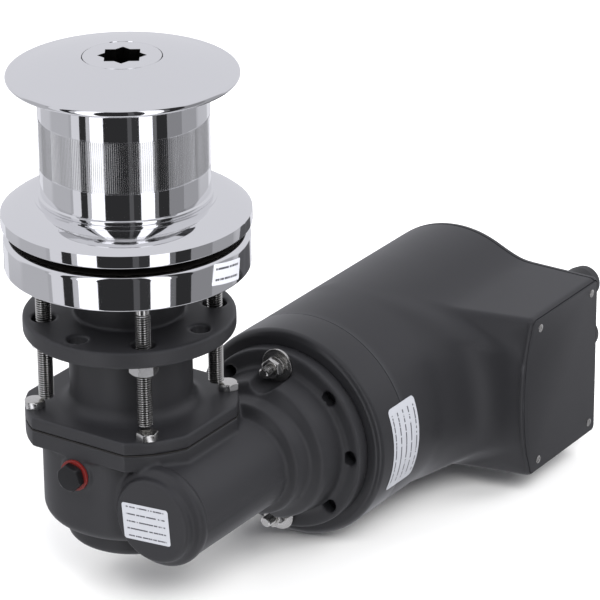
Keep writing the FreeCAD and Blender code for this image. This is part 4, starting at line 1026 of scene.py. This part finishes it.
@dataclass
class DeckClamp:
    """The chromed base ring with its label, and the studs that hang from it with their nuts."""

    radius: float = 62.5
    height: float = 18.5
    shoulder: float = 3.0
    gap_rim: float = 3.2
    recess: float = 38.5
    floor: float = 11.0
    shaft_hole: float = 14.5
    spigot: float = 28.3
    spigot_depth: float = 7.3
    stud_radius: float = 4.0
    stud_pitch: float = 1.25
    root_from: float = 0.36
    stud_low: float = -70.3
    stud_top: float = 11.5
    shank: float = 9.0
    nut_flats: float = 13.0
    nut_height: float = 6.5
    sticker_angle: float = -91.4
    sticker_height: float = 9.7
    sticker_lean: float = -10.0
    sticker_width: float = 22.5
    sticker_tall: float = 11.2
    sticker_corner: float = 0.8
    sticker_lift: float = 0.1

    def ring(self, shop: Workshop) -> None:
        """Build the polished base ring."""
        ring = lathe("base_ring", [
            (self.spigot, 0.0), (self.radius, 0.0, 1.0), (self.radius, self.height, self.shoulder),
            (self.recess, self.height, 1.0), (self.recess, self.floor),
            (self.shaft_hole, self.floor), (self.shaft_hole, self.spigot_depth),
            (self.spigot, self.spigot_depth)], TURNED_STEPS, TURNED_STEP)
        shop.keep(ring, CHROME, Body.FRAME, Slot.CHROME, "deck_base")
        # Painted shade: the ring's top face and recess under the skirt are coloured near black.
        shop.accent(ring, GAP_PAINTED_SHADE, lambda face: spread(face.center) < self.radius - self.gap_rim
                    and face.center.z / MM > self.floor - 0.5)

    def sticker(self, shop: Workshop) -> None:
        """Stick the small ruled paper label on the ring's side, a little askew."""
        lean = math.radians(self.sticker_lean)

        def place(across: float, along: float) -> Vector:
            """Where a point of the label lies on the ring and its rounded shoulder."""
            turn = math.radians(self.sticker_angle) \
                + (across * math.cos(lean) - along * math.sin(lean)) / self.radius
            height = self.sticker_height + across * math.sin(lean) + along * math.cos(lean)
            over = max(0.0, height - self.height + self.shoulder)
            out = math.sqrt(self.shoulder * self.shoulder - over * over)
            reach = self.radius - self.shoulder + out + self.sticker_lift
            return Vector((reach * math.cos(turn), reach * math.sin(turn), height))

        sheet = film("base_sticker", self.sticker_width, self.sticker_tall, self.sticker_corner,
                     columns=20, rows=8)
        shop.keep(wrap(sheet, place), BASE_STICKER, Body.FRAME, Slot.PAPER)

    def studs(self, shop: Workshop) -> None:
        """Build the four threaded studs and their chamfered nuts."""
        radius = self.stud_radius
        stud = threaded("stud_pattern", radius, self.stud_pitch, self.stud_low, -self.shank)
        shank = lathe("shank_pattern", [(0.0, -self.shank), (radius, -self.shank, 0.5),
                                        (radius, self.stud_top), (0.0, self.stud_top)], 40)
        rods = repeat(join((stud, shank), "stud_pattern"), quarters(PLACES.hole_circle, 0.0),
                      "clamp_studs")
        shop.keep(rods, STAINLESS, Body.FRAME, Slot.ZINC, "deck_studs")

        def in_painted_root_shade(face: bpy.types.MeshPolygon) -> bool:
            """Whether a face lies in the lower half of a thread's groove, which gets painted shade.
            """
            place = face.center / MM
            side = PLACES.hole_circle / math.sqrt(2)
            away = math.hypot(abs(place.x) - side, abs(place.y) - side)
            return (away < radius - self.root_from * self.stud_pitch
                    and place.z > self.stud_low + 0.5)

        # Painted shade in the threads' roots.
        shop.accent(rods, THREAD_ROOT_PAINTED_SHADE, in_painted_root_shade)
        nut = hexagon("nut_pattern", self.nut_flats, self.nut_height, radius - 0.3)
        nuts = repeat(nut, quarters(PLACES.hole_circle, PLACES.plate_low - self.nut_height),
                      "clamp_nuts")
        shop.keep(nuts, STAINLESS, Body.FRAME, Slot.ZINC, "deck_nuts")

    def build(self, shop: Workshop) -> None:
        """Build the clamp's pieces."""
        self.ring(shop)
        self.sticker(shop)
        self.studs(shop)


@dataclass
class Castings:
    """The two coated castings with softened edges, and their bolts, plug and label."""

    cover_voxel: float = 0.8
    case_voxel: float = 0.9
    smoothing: int = 4
    smooth_share: float = 0.5
    bolt_flats: float = 10.0
    bolt_head: float = 4.0
    plug_side: float = 2.0
    plug_drop: float = -100.2
    plug_face: float = -47.1
    ring_thick: float = 1.6
    ring_outer: float = 8.2
    ring_inner: float = 5.0
    plug_flats: float = 13.0
    plug_head: float = 6.5
    plug_turn: float = 15.0
    label_y: float = -41.7
    label_z: float = -116.4
    label_lean: float = 4.7
    label_width: float = 28.6
    label_height: float = 19.8
    label_corner: float = 1.5
    label_lift: float = 0.1

    def softened(self, node: str, name: str, voxel: float) -> Item:
        """Copy a CAD node and melt its sharp edges into cast ones.

        Args:
            node: The CAD node.
            name: The copy's name.
            voxel: Size of the cells that the surface is remade from.

        Returns:
            The softened copy.
        """
        activate(frame["nodes"][node])
        bpy.ops.object.duplicate()
        item = bpy.context.object
        item.parent = None
        for key in [key for key in item.keys() if key.startswith("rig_")]:
            del item[key]
        item.name = item.data.name = name
        edit(item)
        bpy.ops.mesh.remove_doubles(threshold=WELD)
        leave()
        modify(item, "REMESH", mode="VOXEL", voxel_size=voxel * MM)
        modify(item, "SMOOTH", factor=self.smooth_share, iterations=self.smoothing)
        return item

    def bolts(self, shop: Workshop) -> None:
        """Build the four bolt heads on the joint's flange."""
        pattern = hexagon("bolt_pattern", self.bolt_flats, self.bolt_head, chamfer_low=False)
        heads = repeat(pattern, quarters(PLACES.bolt_circle, PLACES.flange_top), "joint_bolts")
        shop.keep(heads, STAINLESS, Body.FRAME, Slot.ZINC, "case_bolts")

    def plug(self, shop: Workshop) -> None:
        """Build the oil plug's head and its red ring."""
        ring = washer("plug_ring", self.ring_outer, self.ring_inner, self.ring_thick)
        seat = self.plug_face - self.ring_thick
        settle(ring, stand(Axis.MOTOR, seat, self.plug_side, self.plug_drop))
        shop.keep(ring, RED_RING, Body.FRAME, Slot.RED_SEAL, "oil_plug_seal")
        head = hexagon("plug_head", self.plug_flats, self.plug_head - self.ring_thick)
        flip = Matrix.Rotation(math.pi, 4, "X")
        settle(head, stand(Axis.MOTOR, seat, self.plug_side, self.plug_drop, self.plug_turn) @ flip)
        shop.keep(head, DARK_PLUG, Body.FRAME, Slot.ZINC, "oil_plug")

    def label(self, shop: Workshop) -> None:
        """Stick the ruled label on the worm boss's flat end, a little askew."""
        lean = math.radians(self.label_lean)

        def place(across: float, along: float) -> Vector:
            """Where a point of the label lies on the boss."""
            return Vector((self.plug_face - self.label_lift,
                           self.label_y - across * math.cos(lean) + along * math.sin(lean),
                           self.label_z + across * math.sin(lean) + along * math.cos(lean)))

        sheet = film("boss_label", self.label_width, self.label_height, self.label_corner,
                     columns=2, rows=2)
        shop.keep(wrap(sheet, place), BOSS_LABEL, Body.FRAME, Slot.PAPER)

    def build(self, shop: Workshop) -> None:
        """Build the castings and what is on them."""
        for node, name, voxel in (("gear_cover", "upper_casting", self.cover_voxel),
                                       ("gear_case", "lower_casting", self.case_voxel)):
            shop.keep(self.softened(node, name, voxel), COATED_CASTING, Body.FRAME,
                      Slot.CASTING, node, angle=60.0)
        self.bolts(shop)
        self.plug(shop)
        self.label(shop)


@dataclass
class MotorEnd:
    """The motor's front shield and the fasteners that hold it on the bell."""

    radius: float = 58.2
    front: float = 76.0
    seam: float = 101.0
    bore: float = 19.0
    rim_round: float = 4.0
    face_thick: float = 5.0
    lip_inset: float = 3.4
    lip_length: float = 4.0
    lip_thick: float = 1.6
    flange_front: float = 68.0
    stud_circle: float = 43.0
    stud_radius: float = 3.0
    stud_pitch: float = 1.0
    stud_proud: float = 14.5
    stud_sunk: float = 6.0
    fastener_turn: float = 20.0
    washer_radius: float = 9.0
    washer_thick: float = 1.6
    nut_flats: float = 10.0
    nut_height: float = 5.0

    def shield(self, shop: Workshop) -> None:
        """Build the glossy front shield with its rounded rim."""
        lip, inner = self.radius - self.lip_inset, self.radius - self.lip_inset - self.lip_thick
        end, back = self.seam + self.lip_length, self.front + self.face_thick
        item = lathe("shield_ring", [
            (self.bore, self.front), (self.radius, self.front, self.rim_round),
            (self.radius, self.seam, 0.3), (lip, self.seam), (lip, end), (inner, end),
            (inner, back), (self.bore, back)], 192, 6.0)
        settle(item, stand(Axis.MOTOR, 0.0, PLACES.motor_y, PLACES.motor_z))
        shop.keep(item, SHIELD_PAINT, Body.FRAME, Slot.SHIELD, "motor_front_shield")

    def fasteners(self, shop: Workshop) -> None:
        """Build the two studs, each with two washers and a nut."""
        front, thick = self.flange_front, self.washer_thick
        stud = threaded("motor_stud_pattern", self.stud_radius, self.stud_pitch, 0.0,
                        self.stud_proud + self.stud_sunk)
        plain = washer("washer_pattern", self.washer_radius, self.stud_radius, thick)
        spring = washer("spring_pattern", self.nut_flats / 2 + 0.4, self.stud_radius, thick)
        nut = hexagon("motor_nut_pattern", self.nut_flats, self.nut_height, self.stud_radius - 0.3)
        for pattern, start, node in (
                (stud, front - self.stud_proud, "motor_studs"),
                (plain, front - thick, "motor_washers"),
                (spring, front - 2 * thick, "motor_spring_washers"),
                (nut, front - 2 * thick - self.nut_height, "motor_nuts")):
            pair = repeat(pattern, [
                stand(Axis.MOTOR, start, PLACES.motor_y, PLACES.motor_z + side * self.stud_circle,
                      self.fastener_turn) for side in (1.0, -1.0)], "pair_of_" + node)
            shop.keep(pair, STAINLESS, Body.FRAME, Slot.ZINC, node)

    def build(self, shop: Workshop) -> None:
        """Build the motor's front end."""
        self.shield(shop)
        self.fasteners(shop)


def ease(value: float, start: float, end: float) -> float:
    """Rise smoothly from 0 to 1 between two values."""
    part = min(1.0, max(0.0, (value - start) / (end - start)))
    return part * part * (3.0 - 2.0 * part)


def blend_min(first: float, second: float, width: float) -> float:
    """Give the smaller of two distances, blended where they are nearly equal."""
    near = max(width - abs(first - second), 0.0) / width
    return min(first, second) - near * near * width / 4.0


@dataclass
class MotorCover:
    """The motor's cover and the control box on its side, one moulding with a lid.

    Its surface is where a distance from the motor's tube and one from the box blend to nothing.
    """

    radius: float = 58.1
    front: float = 101.3
    end: float = 252.0
    wall: float = 3.0
    rear_round: float = 2.5
    box_face: float = -132.0
    box_half: float = 46.4
    box_front: float = 172.0
    bow: float = 9.0
    draft: float = 0.22
    draft_reach: float = 45.0
    wall_blend: float = 35.0
    side_blend: float = 7.0
    edge_blend: float = 3.6
    blend_from: tuple[float, float] = (-4.0, 24.0)
    bend_in: tuple[float, float] = (108.0, 162.0)
    bend_out: tuple[float, float] = (186.0, 240.0)
    search: tuple[float, float] = (10.0, 120.0)
    halvings: int = 22
    wall_rows: int = 34
    shoulder: float = 26.0
    shoulder_rows: int = 16
    plain_rows: int = 6
    plain_inset: float = 6.5
    rear_shares: tuple[float, ...] = (0.97, 0.6, 0.3, 0.0)
    coarse_angles: range = range(-180, 180, 3)
    front_angles: range = range(-34, 35, 2)
    edge_angles: range = range(-9, 10)
    edge_step: float = 0.3
    groove: float = 247.8
    groove_depth: float = 0.45
    groove_rows: tuple[tuple[float, float], ...] = ((-0.5, 0.0), (-0.3, 1.0), (0.3, 1.0),
                                                    (0.5, 0.0))
    lid_inset: float = 1.7
    lid_gap: float = 0.5
    lid_thick: float = 3.0
    lid_corner: float = 2.0
    lid_rows: int = 14
    lid_sunk: float = 0.15
    screw_x: tuple[float, float] = (189.5, 244.5)
    screw_z: tuple[float, float] = (-75.7, -153.5)
    screw_radius: float = 2.2
    screw_sunk: float = 0.4
    screw_proud: float = 0.5
    slot_corner: float = 0.5
    slot_stretch: float = 8.0
    label_start: float = 88.4
    label_end: float = 113.0
    label_angles: tuple[float, float] = (-68.0, -115.5)
    label_corner: float = 2.5
    label_lift: float = 0.25

    def bowed(self, across: float) -> float:
        """How far the box's front edge stands back at a height from the motor's axis."""
        return self.bow * min(1.0, abs(across) / self.box_half) ** 2

    def spot(self, row: float, angle: float, reach: float) -> Vector:
        """Find where a row, an angle and a distance from the motor's axis meet.

        The rows near the box's front wall follow its bow and its draft.

        Args:
            row: The row's place in X on a straight box.
            angle: Angle from -Y, in radians.
            reach: Distance from the motor's axis.

        Returns:
            The place, in millimetres.
        """
        y = PLACES.motor_y - reach * math.cos(angle)
        across = reach * math.sin(angle)
        depth = min(max(y - self.box_face, 0.0), self.draft_reach)
        share = ease(row, *self.bend_in) * (1.0 - ease(row, *self.bend_out))
        return Vector((row + share * (self.bowed(across) - self.draft * depth), y,
                       PLACES.motor_z + across))

    def distance(self, row: float, angle: float, reach: float) -> float:
        """Work out how far a place lies outside the moulding's surface.

        Args:
            row: The row's place in X on a straight box.
            angle: Angle from -Y, in radians.
            reach: Distance from the motor's axis.

        Returns:
            The distance; it is negative inside.
        """
        y = -reach * math.cos(angle) + PLACES.motor_y
        side = abs(reach * math.sin(angle)) - self.box_half
        edge = -blend_min(-side, y - self.box_face, self.edge_blend)
        ahead = self.box_front - row
        box = max(-blend_min(-edge, -ahead, self.edge_blend), y - PLACES.motor_y)
        width = self.side_blend + (self.wall_blend - self.side_blend) * ease(
            ahead - side, *self.blend_from)
        return blend_min(reach - self.radius, box, width)

    def reach(self, row: float, angle: float, level: float) -> float:
        """Find the distance from the motor's axis at which the surface has a level, by halving.

        Args:
            row: The row's place in X on a straight box.
            angle: Angle from -Y, in radians.
            level: The surface's level.

        Returns:
            The distance.
        """
        low, high = self.search
        for _ in range(self.halvings):
            middle = (low + high) / 2
            if self.distance(row, angle, middle) < level:
                low = middle
            else:
                high = middle
        return low

    def rows(self, level: float) -> list[tuple[float, float, float]]:
        """List the moulding's rows from the front to the middle of its rear wall.

        Args:
            level: The surface's level; 0 outside, and less on the inner side.

        Returns:
            Each row's place, level and share of the full distance from the motor's axis.
        """
        near, rear = self.box_front - level, self.end + level
        plain = self.end - self.plain_inset - near - self.shoulder
        made = [(near - (near - self.front) * (1 - index / self.wall_rows) ** 2, level, 1.0)
                for index in range(self.wall_rows)]
        made += [(near + self.shoulder * (index / self.shoulder_rows) ** 2, level, 1.0)
                 for index in range(self.shoulder_rows + 1)]
        made += [(near + self.shoulder + plain * index / self.plain_rows, level, 1.0)
                 for index in range(1, self.plain_rows + 1)]
        if level == 0.0:
            made += [(self.groove + place, -depth * self.groove_depth, 1.0)
                     for place, depth in self.groove_rows]
        for degrees in range(0, 91, 15):
            turn = math.radians(degrees)
            made.append((rear - self.rear_round * (1 - math.sin(turn)),
                         level - self.rear_round * (1 - math.cos(turn)), 1.0))
        made += [(rear, level - self.rear_round, share) for share in self.rear_shares]
        return made

    def skin(self, name: str) -> Item:
        """Make the moulding's wall: a grid from its inner rear over the front rim to its rear."""
        corner = math.degrees(math.atan2(self.box_half, PLACES.motor_y - self.box_face))
        fine = [corner + step * self.edge_step for step in self.edge_angles]
        angles = sorted({round(angle, 3) for angle in (
            *self.coarse_angles, *self.front_angles, *fine, *(-angle for angle in fine))})
        rows = self.rows(-self.wall)[::-1] + self.rows(0.0)
        deselect()
        bpy.ops.mesh.primitive_grid_add(x_subdivisions=len(rows) - 1, y_subdivisions=len(angles),
                                        size=2.0)
        item = added(name)
        for point in item.data.vertices:
            row, depth, share = rows[round((point.co.x + 1) / 2 * (len(rows) - 1))]
            angle = math.radians(angles[round((point.co.y + 1) / 2 * len(angles)) % len(angles)])
            point.co = self.spot(row, angle, self.reach(row, angle, depth) * share) * MM
        edit(item)
        turn_outward(WELD / 10)
        return item

    def lid_outline(self, inset: float) -> list[tuple[float, ...]]:
        """Give the lid's outline in X and Z, a distance inside the box's face."""
        half = self.box_half - inset
        top, low = PLACES.motor_z + half, PLACES.motor_z - half
        start, end = self.box_front + inset, self.end - inset
        count = self.lid_rows
        heights = [top + (low - top) * index / count for index in range(2, count - 1)]
        corner = start + self.bowed(half)
        return [(end, low, self.lid_corner), (end, top, self.lid_corner), (corner, top, 4.5),
                *((start + self.bowed(z - PLACES.motor_z), z) for z in heights),
                (corner, low, 3.0)]

    def moulding(self, shop: Workshop) -> None:
        """Build the cover with its box, and the opening that the lid closes."""
        cover = self.skin("cover_moulding")
        opening = plate("lid_opening", self.lid_outline(self.lid_inset - self.lid_gap),
                        -self.box_face - self.lid_thick - 1.5, -self.box_face + 1.0)
        combine(cover, settle(opening, Matrix.Rotation(QUARTER_TURN, 4, "X")), "DIFFERENCE")
        shop.keep(cover, COVER_PLASTIC, Body.FRAME, Slot.COVER, "motor_cover", angle=30.0)

    def lid(self, shop: Workshop) -> None:
        """Build the lid and its four slotted screws."""
        lay = Matrix.Rotation(QUARTER_TURN, 4, "X")
        face = -self.box_face - self.lid_sunk
        lid = plate("box_lid", self.lid_outline(self.lid_inset), face - self.lid_thick, face)
        soften(lid, 0.35, 2, 40.0)
        shop.keep(settle(lid, lay), COVER_PLASTIC, Body.FRAME, Slot.COVER, "control_box_lid",
                  angle=30.0)
        radius, sunk, top = self.screw_radius, face - self.screw_sunk, face + self.screw_proud
        head = lathe("screw_pattern", [
            (0.0, sunk), (radius, sunk), (radius, face + 0.25, 0.15), (radius - 0.8, top),
            (0.0, top)], 32)
        slot = prism("slot_cutter", 4, self.slot_corner, face + 0.05, face + 1.0, 45.0)
        slot.data.transform(Matrix.Diagonal((self.slot_stretch, 1.0, 1.0, 1.0)))
        combine(head, slot, "DIFFERENCE")
        heads = repeat(head, [Matrix.Translation(Vector((x, 0.0, z)) * MM) @ lay
                              @ Matrix.Rotation(math.radians(x + z), 4, "Z")
                              for x in self.screw_x for z in self.screw_z], "lid_screw_heads")
        shop.keep(heads, STAINLESS, Body.FRAME, Slot.ZINC, "lid_screws")

    def label(self, shop: Workshop) -> None:
        """Stick the ruled label over the seam on the motor's side."""
        reach = self.radius + self.label_lift
        first, last = (math.radians(angle) for angle in self.label_angles)
        middle, width = (self.label_start + self.label_end) / 2, self.label_end - self.label_start

        def place(across: float, along: float) -> Vector:
            """Where a point of the label lies on the motor's side."""
            turn = (first + last) / 2 + across / reach
            return Vector((middle + along, PLACES.motor_y + reach * math.sin(turn),
                           PLACES.motor_z + reach * math.cos(turn)))

        sheet = film("motor_label", reach * abs(first - last), width, self.label_corner,
                     columns=40, rows=2)
        shop.keep(wrap(sheet, place), MOTOR_LABEL, Body.FRAME, Slot.PAPER)

    def build(self, shop: Workshop) -> None:
        """Build the cover, the lid with its screws and the label."""
        self.moulding(shop)
        self.lid(shop)
        self.label(shop)


@dataclass(frozen=True)
class Band:
    """One upright band of the surround, by its angle from the camera's side of the drum."""

    start: float
    value: float


@dataclass(frozen=True)
class Lamp:
    """One square soft lamp, with its place and size in metres and its power in watts."""

    name: str
    place: tuple[float, float, float]
    power: float
    size: float = 1.6


@dataclass
class Studio:
    """The floor, the soft lamps, the banded surround that chrome mirrors, and the camera."""

    azimuth: float = -56.127
    elevation: float = 23.591
    roll: float = -0.518
    lens: float = 224.84
    sensor: float = 36.0
    sight: float = 50.0
    eye: tuple[float, float, float] = (-1398.84, -1043.48, 739.74)
    eye_angle: float = 216.72
    floor_height: float = -173.5
    floor_size: float = 30.0
    floor_colour: Colour = (0.97, 0.967, 0.95)
    floor_roughness: float = 0.9
    surround_radius: float = 2600.0
    surround_low: float = -3200.0
    surround_high: float = 6600.0
    fade_from: float = 500.0
    fade_to: float = 1500.0
    front_rise: float = 4500.0
    rear_drop: float = 1900.0
    front_sides: tuple[float, float] = (45.0, 65.0)
    rear_sides: tuple[float, float] = (90.0, 120.0)
    tint: Colour = (0.935, 0.94, 1.0)
    sky: float = 0.75
    aim: tuple[float, float, float] = (0.09, -0.04, -0.03)
    lamps: tuple[Lamp, ...] = (
        Lamp("key", (-1.3, -1.6, 2.2), 60.0), Lamp("side", (-1.9, 1.4, 1.8), 36.0),
        Lamp("right", (1.6, -2.2, 1.8), 42.0), Lamp("back", (1.8, 1.8, 2.0), 40.0))
    bands: tuple[Band, ...] = (
        Band(-180.0, 0.04), Band(-168.0, 0.9), Band(-146.0, 0.50), Band(-80.0, 0.45),
        Band(-75.0, 0.75), Band(-62.0, 0.03), Band(-52.5, 0.55), Band(-47.5, 1.5),
        Band(-29.5, 0.03), Band(4.0, 0.10), Band(9.0, 0.04), Band(18.5, 1.5), Band(37.5, 0.16),
        Band(43.5, 0.03), Band(58.0, 0.27), Band(82.0, 0.38), Band(112.0, 0.45),
        Band(146.0, 0.9), Band(168.0, 0.04))

    def camera(self) -> None:
        """Stand the camera where the photograph was taken from."""
        a, e, r = (math.radians(x) for x in (self.azimuth, self.elevation, self.roll))
        back = Vector((math.sin(a) * math.cos(e), -math.cos(a) * math.cos(e), math.sin(e)))
        right = Vector((math.cos(a), math.sin(a), 0.0))
        up = back.cross(right)
        turned_right = right * math.cos(r) + up * math.sin(r)
        turned_up = up * math.cos(r) - right * math.sin(r)
        data = bpy.data.cameras.new("camera")
        data.sensor_width = self.sensor
        data.lens = self.lens
        data.clip_end = self.sight
        item = bpy.data.objects.new("camera", data)
        turn = Matrix((turned_right, turned_up, back)).transposed().to_4x4()
        item.matrix_world = Matrix.Translation(Vector(self.eye) * MM) @ turn
        bpy.context.scene.collection.objects.link(item)
        bpy.context.scene.camera = item

    def floor(self) -> None:
        """Lay the pale floor, which the polished metal doesn't mirror."""
        deselect()
        bpy.ops.mesh.primitive_plane_add(size=self.floor_size,
                                         location=(0, 0, self.floor_height * MM))
        item = bpy.context.object
        item.name = "floor"
        made = new_material("pale_floor")
        feed(made.node_tree, made.node_tree.nodes["Principled BSDF"],
             Base_Color=(*self.floor_colour, 1.0), Roughness=self.floor_roughness)
        item.data.materials.append(made)
        item.visible_glossy = False

    def surround_material(self) -> bpy.types.Material:
        """Build the surround's light: bands by angle, which fade into the sky above."""
        made = new_material("banded_surround")
        tree = made.node_tree
        tree.nodes.remove(tree.nodes["Principled BSDF"])
        split = add_node(tree, "SeparateXYZ", Vector=place_of(tree, "Object"))
        angle = math_node(tree, "ARCTAN2", split.outputs["Y"], split.outputs["X"])
        part = math_node(tree, "ADD", math_node(tree, "DIVIDE", angle, math.tau), 0.5)
        ramp = add_node(tree, "ValToRGB", Fac=part)
        ramp.color_ramp.interpolation = "CONSTANT"
        points = ramp.color_ramp.elements
        points.remove(points[1])
        for index, band in enumerate(self.bands):
            spot = points.new((band.start + 180.0) / 360.0) if index else points[0]
            spot.color = (*(band.value * share for share in self.tint), 1.0)
        around = math_node(tree, "ABSOLUTE", angle)
        past = smooth_step(tree, around, *(math.radians(side) for side in self.front_sides))
        front = math_node(tree, "SUBTRACT", 1.0, past)
        rear = smooth_step(tree, around, *(math.radians(side) for side in self.rear_sides))
        rise = math_node(tree, "MULTIPLY", front, self.front_rise * MM)
        drop = math_node(tree, "MULTIPLY", rear, self.rear_drop * MM)
        height = math_node(tree, "ADD", math_node(tree, "SUBTRACT", split.outputs["Z"], rise), drop)
        fade = smooth_step(tree, height, self.fade_from * MM, self.fade_to * MM)
        sky = (*(self.sky * share for share in self.tint), 1.0)
        colour = mix_colours(tree, fade, ramp.outputs["Color"], sky)
        light = add_node(tree, "Emission", Color=colour)
        feed(tree, tree.nodes["Material Output"], Surface=light.outputs[0])
        return made

    def surround(self) -> None:
        """Stand a banded cylinder round the set, which only glossy rays see."""
        deselect()
        bpy.ops.mesh.primitive_cylinder_add(
            vertices=96, radius=self.surround_radius * MM, end_fill_type="NOTHING",
            depth=(self.surround_high - self.surround_low) * MM)
        item = bpy.context.object
        item.name = "surround"
        middle = (self.surround_high + self.surround_low) / 2
        item.data.transform(Matrix.Translation((0, 0, middle * MM)))
        item.rotation_euler = (0, 0, math.radians(self.eye_angle))
        item.data.materials.append(self.surround_material())
        item.visible_camera = item.visible_diffuse = item.visible_shadow = False
        item.visible_transmission = item.visible_volume_scatter = False

    def hang(self, lamp: Lamp) -> None:
        """Hang a lamp that points at the object's middle, and isn't mirrored."""
        data = bpy.data.lights.new(lamp.name, "AREA")
        data.size = lamp.size
        data.energy = lamp.power
        item = bpy.data.objects.new(lamp.name, data)
        item.location = lamp.place
        item.rotation_mode = "QUATERNION"
        item.rotation_quaternion = (Vector(self.aim) - item.location).to_track_quat("-Z", "Y")
        item.visible_camera = item.visible_glossy = False
        bpy.context.scene.collection.objects.link(item)

    def light(self) -> None:
        """Set the even sky and the soft lamps."""
        world = bpy.data.worlds.new("studio")
        bpy.context.scene.world = world
        world.use_nodes = True
        sky = world.node_tree.nodes["Background"]
        sky.inputs["Color"].default_value = (*self.tint, 1.0)
        sky.inputs["Strength"].default_value = self.sky
        for lamp in self.lamps:
            self.hang(lamp)

    def build(self) -> None:
        """Build the whole set."""
        bpy.context.scene.view_settings.view_transform = "Standard"
        self.camera()
        self.floor()
        self.surround()
        self.light()


def dress_nodes(shop: Workshop) -> None:
    """Give every CAD node the finish of its slot in the record."""
    by_slot = {"chrome": CHROME, "zinc": STAINLESS, "steel": STEEL, "casting": COATED_CASTING,
               "shield": SHIELD_PAINT, "cover": COVER_PLASTIC, "black_plastic": BLACK_NYLON,
               "red_seal": RED_RING, **PLAIN_FINISHES}
    for row in frame["record"]["subparts"]:
        shop.dress(frame["nodes"][row["node"]], by_slot[row["material_slot"]])


def main() -> None:
    """Build the studio and every sub-assembly."""
    logging.basicConfig(level=logging.INFO, format="%(message)s")
    shop = Workshop()
    dress_nodes(shop)
    Studio().build()
    for assembly in (ChromeDrum(), DeckClamp(), Castings(), MotorEnd(), MotorCover()):
        assembly.build(shop)


if __name__ == "__main__":
    main()
